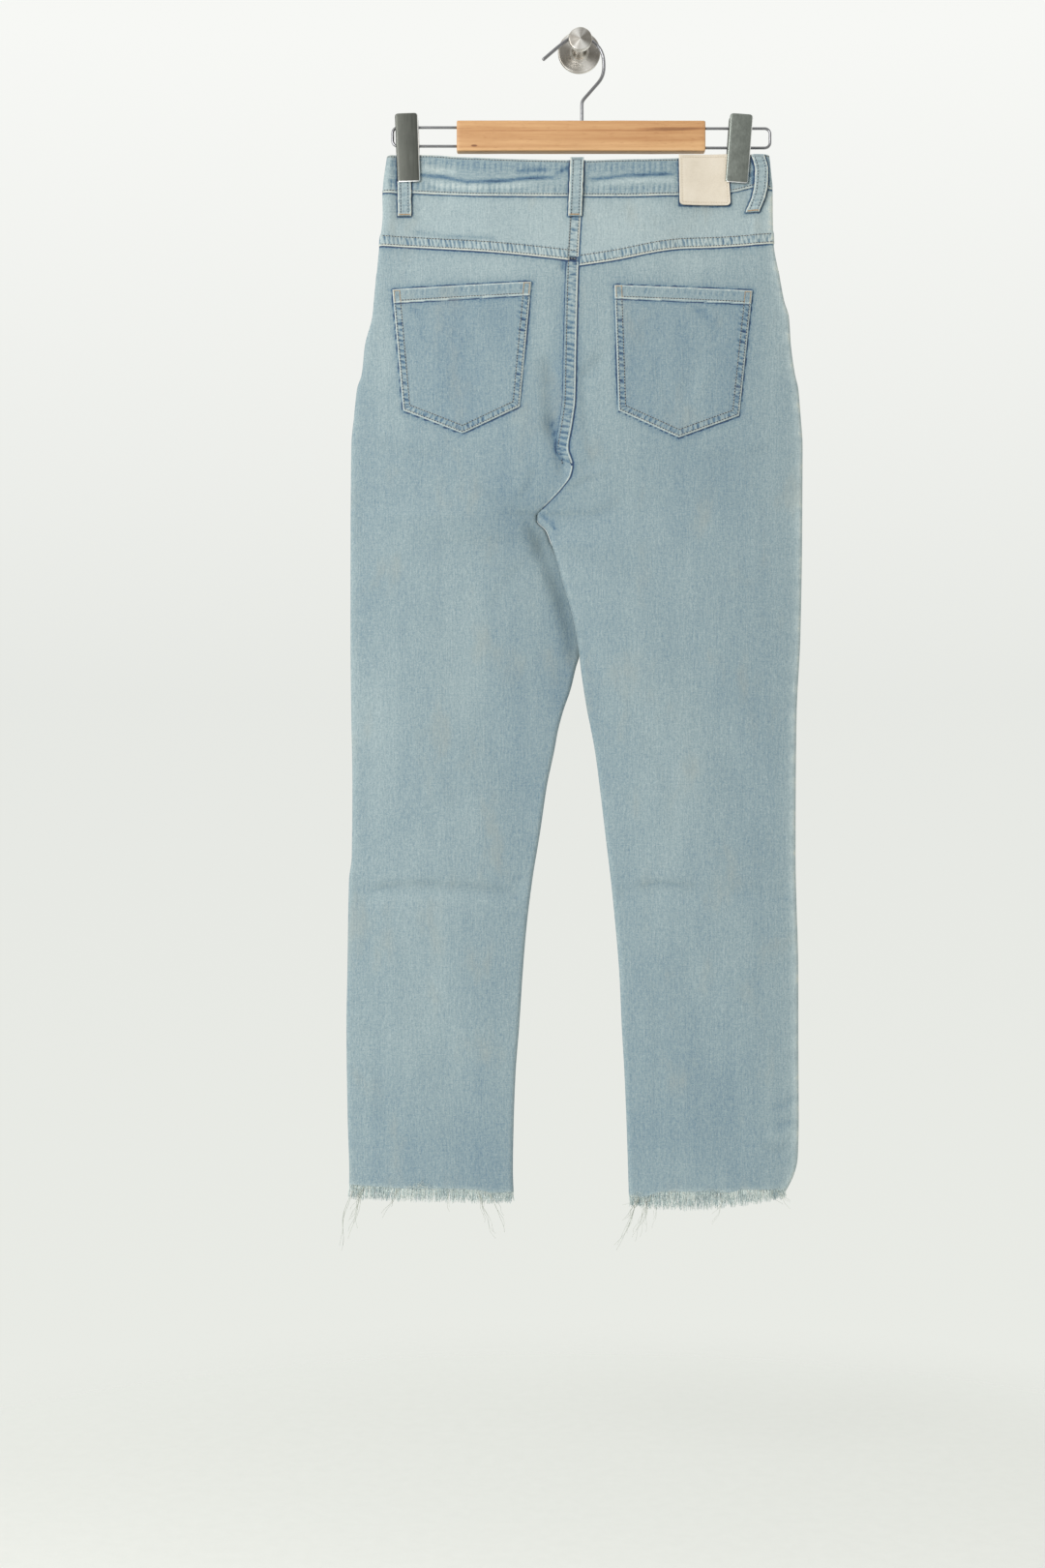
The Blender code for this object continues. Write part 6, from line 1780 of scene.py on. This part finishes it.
def clip_plate(side, face, stuff):
    """A pressed plate, its long edges folded in and its corners rounded."""
    top, bottom = np.array(CLIPS[side]["top"]), np.array(CLIPS[side]["bottom"])
    half = CLIP_WIDTH / 2
    # Across the plate: offset, how far the fold has turned in, and the share of the flange beyond it.
    folded = [(-half, CLIP_FOLD, beyond) for beyond in (1.0, 0.55, 0.1)]
    folded += [(-half + CLIP_FOLD * (1 - math.sin(a)), CLIP_FOLD * (1 - math.cos(a)), 0)
               for a in np.linspace(math.pi / 2, 0, 6)]
    level = [(offset, 0, 0) for offset in np.linspace(-half + CLIP_FOLD, half - CLIP_FOLD, 12)[1:-1]]
    mirrored = [(-offset, turned, beyond) for offset, turned, beyond in folded[::-1]]
    across, turned_in, beyond_fold = np.array(folded + level + mirrored).T
    length = float(np.linalg.norm(bottom - top))
    near = np.array((0, 0.3, 0.8, 1.5, 2.4))
    shares = np.concatenate([near, np.linspace(4, length - 4, 34), length - near[::-1]]) / length
    lean = unit(bottom - top)
    stands, flange = (read(CLIP_SHAPE, "share", key, shares)[:, None] for key in ("half", "flange"))
    from_end = np.minimum(shares, 1 - shares)[:, None] * length
    offset = across * (1 - CLIP_CORNER * (1 - quarter_round(from_end / CLIP_CORNER)) / half)
    inwards = turned_in + (CLIP_FLANGE - CLIP_FOLD) * flange * beyond_fold
    crown = 0.35 * (1 - (offset / half) ** 2)
    at = mix(top, bottom, shares[:, None, None]) + np.array((lean[1], -lean[0])) * offset[..., None]
    place = points_at(at[..., 0], HANGER_Y + SIGN[face] * (stands + crown - 0.35 - inwards), at[..., 1])
    # Distance from the plate's long edge towards +X and from its lower end, where steel() paints a highlight.
    edge = np.minimum(half - across, (1 - shares)[:, None] * length)
    made = shell(f"pressed_clip_{face}_{side}", place, face, CLIP_PLATE, [stuff], [f"clip_{face}_{side}"],
                 place[..., (0, 2)], marks={"fold": edge})
    del made["cut_area"]


def clip_spring(side, stuff):
    """The coil between a clip's plates."""
    top, bottom = np.array(CLIPS[side]["top"]), np.array(CLIPS[side]["bottom"])
    middle = mix(top, bottom, (sum(CLIP_WIRE_DOWN[side]) / 2 - top[1]) / (bottom[1] - top[1]))
    t = np.linspace(0, 1, SPRING_TURNS * 20)
    turn = 2 * math.pi * SPRING_TURNS * t
    route = points_at(middle[0] + (t - 0.5) * (SPRING_LENGTH - 2 * SPRING_WIRE),
                      HANGER_Y + SPRING_RADIUS * np.cos(turn), middle[1] - SPRING_RADIUS * np.sin(turn))
    wire(f"coil_{side}", route, SPRING_WIRE, (1.0, 0, 0), stuff, f"clip_spring_{side}",
         sides=8, sharp=80)


def hanger_hook(stuff):
    route = smooth_route([(x, HANGER_Y, -down) for x, down in HOOK_ROUTE], 5)
    wire("bent_hook", route, WIRE_RADIUS, (0, 1, 0), stuff, "hanger_hook")


def arc(centre_radius, centre_out, radius, first, last, count):
    """Points of an arc in a turned profile, angles in degrees from the outward radius."""
    angles = np.radians(np.linspace(first, last, count + 1))
    return [(centre_radius + radius * math.cos(a), centre_out + radius * math.sin(a)) for a in angles]


def wall_knob(stuff):
    """The plate and the knob: turned pieces with softened edges, a dished plate and a low cone on the cap."""
    rounding = 1.2
    plate = [(0.4, 2.3), (4.0, 2.3), (7.0, 2.35), (12.0, 2.6), (16.5, 3.0)]
    plate += arc(PLATE_RADIUS - rounding, PLATE_DEPTH - rounding, rounding, 90, 0, 8)
    plate += [(PLATE_RADIUS, 0.5), (PLATE_RADIUS - 0.3, 0.0)]
    back, foot, rounding = KNOB_DEPTH - CAP_DEPTH, 2.45, 1.4
    knob = [(0.25, KNOB_DEPTH), (1.2, KNOB_DEPTH - 0.12), (5.0, KNOB_DEPTH - 0.7), (8.6, KNOB_DEPTH - 1.2)]
    knob += arc(CAP_RADIUS - rounding, KNOB_DEPTH - 1.3 - rounding, rounding, 85, 0, 7)
    knob += arc(CAP_RADIUS - rounding, back + rounding, rounding, 0, -85, 7)
    knob += [(STEM_RADIUS + 1.2, back - 0.3), (STEM_RADIUS + 0.3, back - 0.9), (STEM_RADIUS, back - 2.0),
             (STEM_RADIUS, foot + 6), (STEM_RADIUS + 0.3, foot + 4), (STEM_RADIUS + 1.0, foot + 2.2),
             (STEM_RADIUS + 2.2, foot + 0.9), (STEM_RADIUS + 3.6, foot + 0.2), (STEM_RADIUS + 3.8, foot)]
    for name, profile, node in (("turned_plate", plate, "wall_plate"), ("turned_knob", knob, "wall_knob")):
        points, faces = turned_points(profile, TURNED_SIDES, (0.0, 0.0, 0.0), -1.0)
        solid(name, points, faces, 40, stuff, node)


# ---------------------------------------------------------------- camera, light and floor

CAMERA_PLACE = (-0.0535, -2.056, -0.690)
CAMERA_LENS = 50.0
WORLD_STOPS = ((0.36, (0.815, 0.832, 0.785)), (0.52, (0.795, 0.810, 0.775)), (0.66, (0.930, 0.938, 0.912)))
FRONT_SPAN = (-0.85, -0.1)   # the room behind the camera is dimmer, between these parts of its direction
FRONT_SHARE = 0.52
KEY_PLACE = (-1.45, -2.3, 0.0)
KEY_AIM = (0.0, 0.0, -0.55)
KEY_SIZE = (1.3, 1.3)
KEY_POWER = 52.0
FLOOR_DOWN = 1450.0
FLOOR_RADIUS = 1.25
FLOOR_CLEAR = 0.70      # where the floor starts to fade into the surroundings


def camera():
    data = bpy.data.cameras.new("camera")
    data.lens = CAMERA_LENS
    data.sensor_width = 36.0
    made = placed("camera", data)
    made.location = CAMERA_PLACE
    made.rotation_euler = (math.pi / 2, 0, 0)
    bpy.context.scene.camera = made


def surroundings():
    """A pale even sky all round, brighter above and dimmer behind the camera."""
    world = bpy.data.worlds.new("pale room")
    bpy.context.scene.world = world
    made = Nodes(world, "Background")
    parts = made.parts(made.add("ShaderNodeTexCoord").outputs["Generated"])
    height = made.add("ShaderNodeMapRange", {"Value": parts[2], 1: -1.0, 2: 1.0}).outputs[0]
    strength = made.remap(parts[1], *FRONT_SPAN, FRONT_SHARE, 1.0)
    made.set(Color=made.ramp(height, WORLD_STOPS), Strength=strength)


def area_light(name, place, aim, size, power):
    data = bpy.data.lights.new(name, "AREA")
    data.shape = "RECTANGLE"
    data.size, data.size_y = size
    data.energy = power
    made = placed(name, data)
    made.location = place
    made.rotation_euler = (Vector(aim) - Vector(place)).to_track_quat("-Z", "Y").to_euler()


def floor():
    made = Nodes(bpy.data.materials.new("pale floor"))
    place = made.place()
    grain = made.noise(place, 60, 4.0, 0.6, "3D")
    away = made.add("ShaderNodeVectorMath", {0: place}, operation="LENGTH").outputs["Value"]
    stops = ((0.0, (0.76, 0.77, 0.735)), (1.0, (0.81, 0.82, 0.785)))
    made.set(Base_Color=made.ramp(made.maths("ADD", grain, 0.5), stops), Roughness=0.8,
             Alpha=made.remap(away, FLOOR_CLEAR, FLOOR_RADIUS, 1.0, 0.0))
    made.bump(grain, 0.0005)
    bpy.ops.mesh.primitive_circle_add(vertices=96, radius=FLOOR_RADIUS, fill_type="NGON",
                                      location=(0, -0.2, -FLOOR_DOWN * MM))
    disc = bpy.context.object
    disc.name = "floor"
    disc.data.materials.append(made.owner)


# ---------------------------------------------------------------- the whole scene

def garment():
    inside = denim_inside("denim inside")
    left = [denim("denim left leg", tone=0.53, lean=0.5, shift=0.3), inside]
    right = [denim("denim right leg", tone=0.545, lean=-0.45, shift=1.7), inside]
    yokes = [denim("denim yokes", tone=0.58, lean=0.6, shift=2.9), inside]
    pockets = [denim("denim pockets", tone=0.56, lean=0.4, shift=4.1), inside]
    band = [denim("denim waistband", tone=0.64, lean=0.0, shift=5.3, contrast=1.1), inside]
    loops = [denim("denim belt loops", tone=0.63, lean=0.2, shift=6.1), inside]
    facing = [denim("denim facings", tone=0.52, lean=-0.4, shift=7.7), inside]
    for side, stuffs in (("left", left), ("right", right)):
        back_leg(side, stuffs)
        front_leg(side, stuffs)
        yoke(side, yokes)
        pocket_facing(side, facing)
        back_pocket(side, pockets)
    fly_shield(facing)
    waistband(band)
    for name in BELT_LOOPS:
        belt_loop(name, loops)
    waist_patch([patch_leather(), patch_edge()])
    waist_button()


def sewing():
    threads = [thread_material("pale thread", ((0.1, (0.26, 0.26, 0.24)), (0.9, (0.52, 0.48, 0.39)))),
               thread_material("tan thread", ((0.1, (0.40, 0.25, 0.13)), (0.9, (0.66, 0.47, 0.28)))),
               thread_material("grey thread", ((0.1, (0.22, 0.27, 0.30)), (0.9, (0.46, 0.52, 0.53)))),
               # Not thread: dark beads painted as the shade in each needle hole.
               thread_material("needle hole shade", ((0.1, (0.012, 0.016, 0.035)), (0.9, (0.035, 0.045, 0.085))),
                               0.95),
               thread_material("patch thread", ((0.1, (0.52, 0.44, 0.34)), (0.9, (0.72, 0.64, 0.52))))]
    for face in ("back", "front"):
        work = Sewing()
        sew_band(work, face)
        sew_seat(work, face)
        sew_loops(work, face)
        if face == "back":
            sew_yokes(work)
            sew_pockets(work)
            sew_patch(work)
        else:
            sew_front(work)
        work.mesh(f"stitches_{face}", threads)


def fraying():
    cotton = ((0.0, (0.26, 0.36, 0.40)), (0.4, (0.58, 0.69, 0.68)), (1.0, (0.88, 0.91, 0.85)))
    short = [thread_material("frayed cotton", cotton, 0.95, 0.8)]
    pale = ((0.0, (0.38, 0.41, 0.37)), (1.0, (0.68, 0.71, 0.63)))
    loose = [thread_material("loose threads", pale, 0.9, 0.4)]
    for side in ("left", "right"):
        hem_fringe(side, short)
        long_threads(side, loose)


def holders():
    bright = steel("bright wire", (0.33, 0.33, 0.345), 0.32, (20, 60, 60), wear=0.02, grooves=0.0)
    painted_shine = (0.93, 0.93, 0.92)
    dark = steel("dark clip", (0.119, 0.124, 0.110), 0.40, (900, 900, 30), wear=0.08, bright=painted_shine)
    pale = steel("speckled clip", (0.30, 0.325, 0.295), 0.36, (700, 700, 300), wear=0.16, bright=painted_shine)
    hanger_bar(beech())
    hanger_hook(bright)
    for side in ("left", "right"):
        clip_wire(side, bright)
        clip_spring(side, bright)
        for face in ("back", "front"):
            clip_plate(side, face, dark if side == "left" else pale)
    wall_knob(turned_steel())


def main():
    bpy.context.scene.view_settings.view_transform = "Standard"
    garment()
    sewing()
    fraying()
    holders()
    camera()
    surroundings()
    area_light("key", KEY_PLACE, KEY_AIM, KEY_SIZE, KEY_POWER)
    floor()


main()
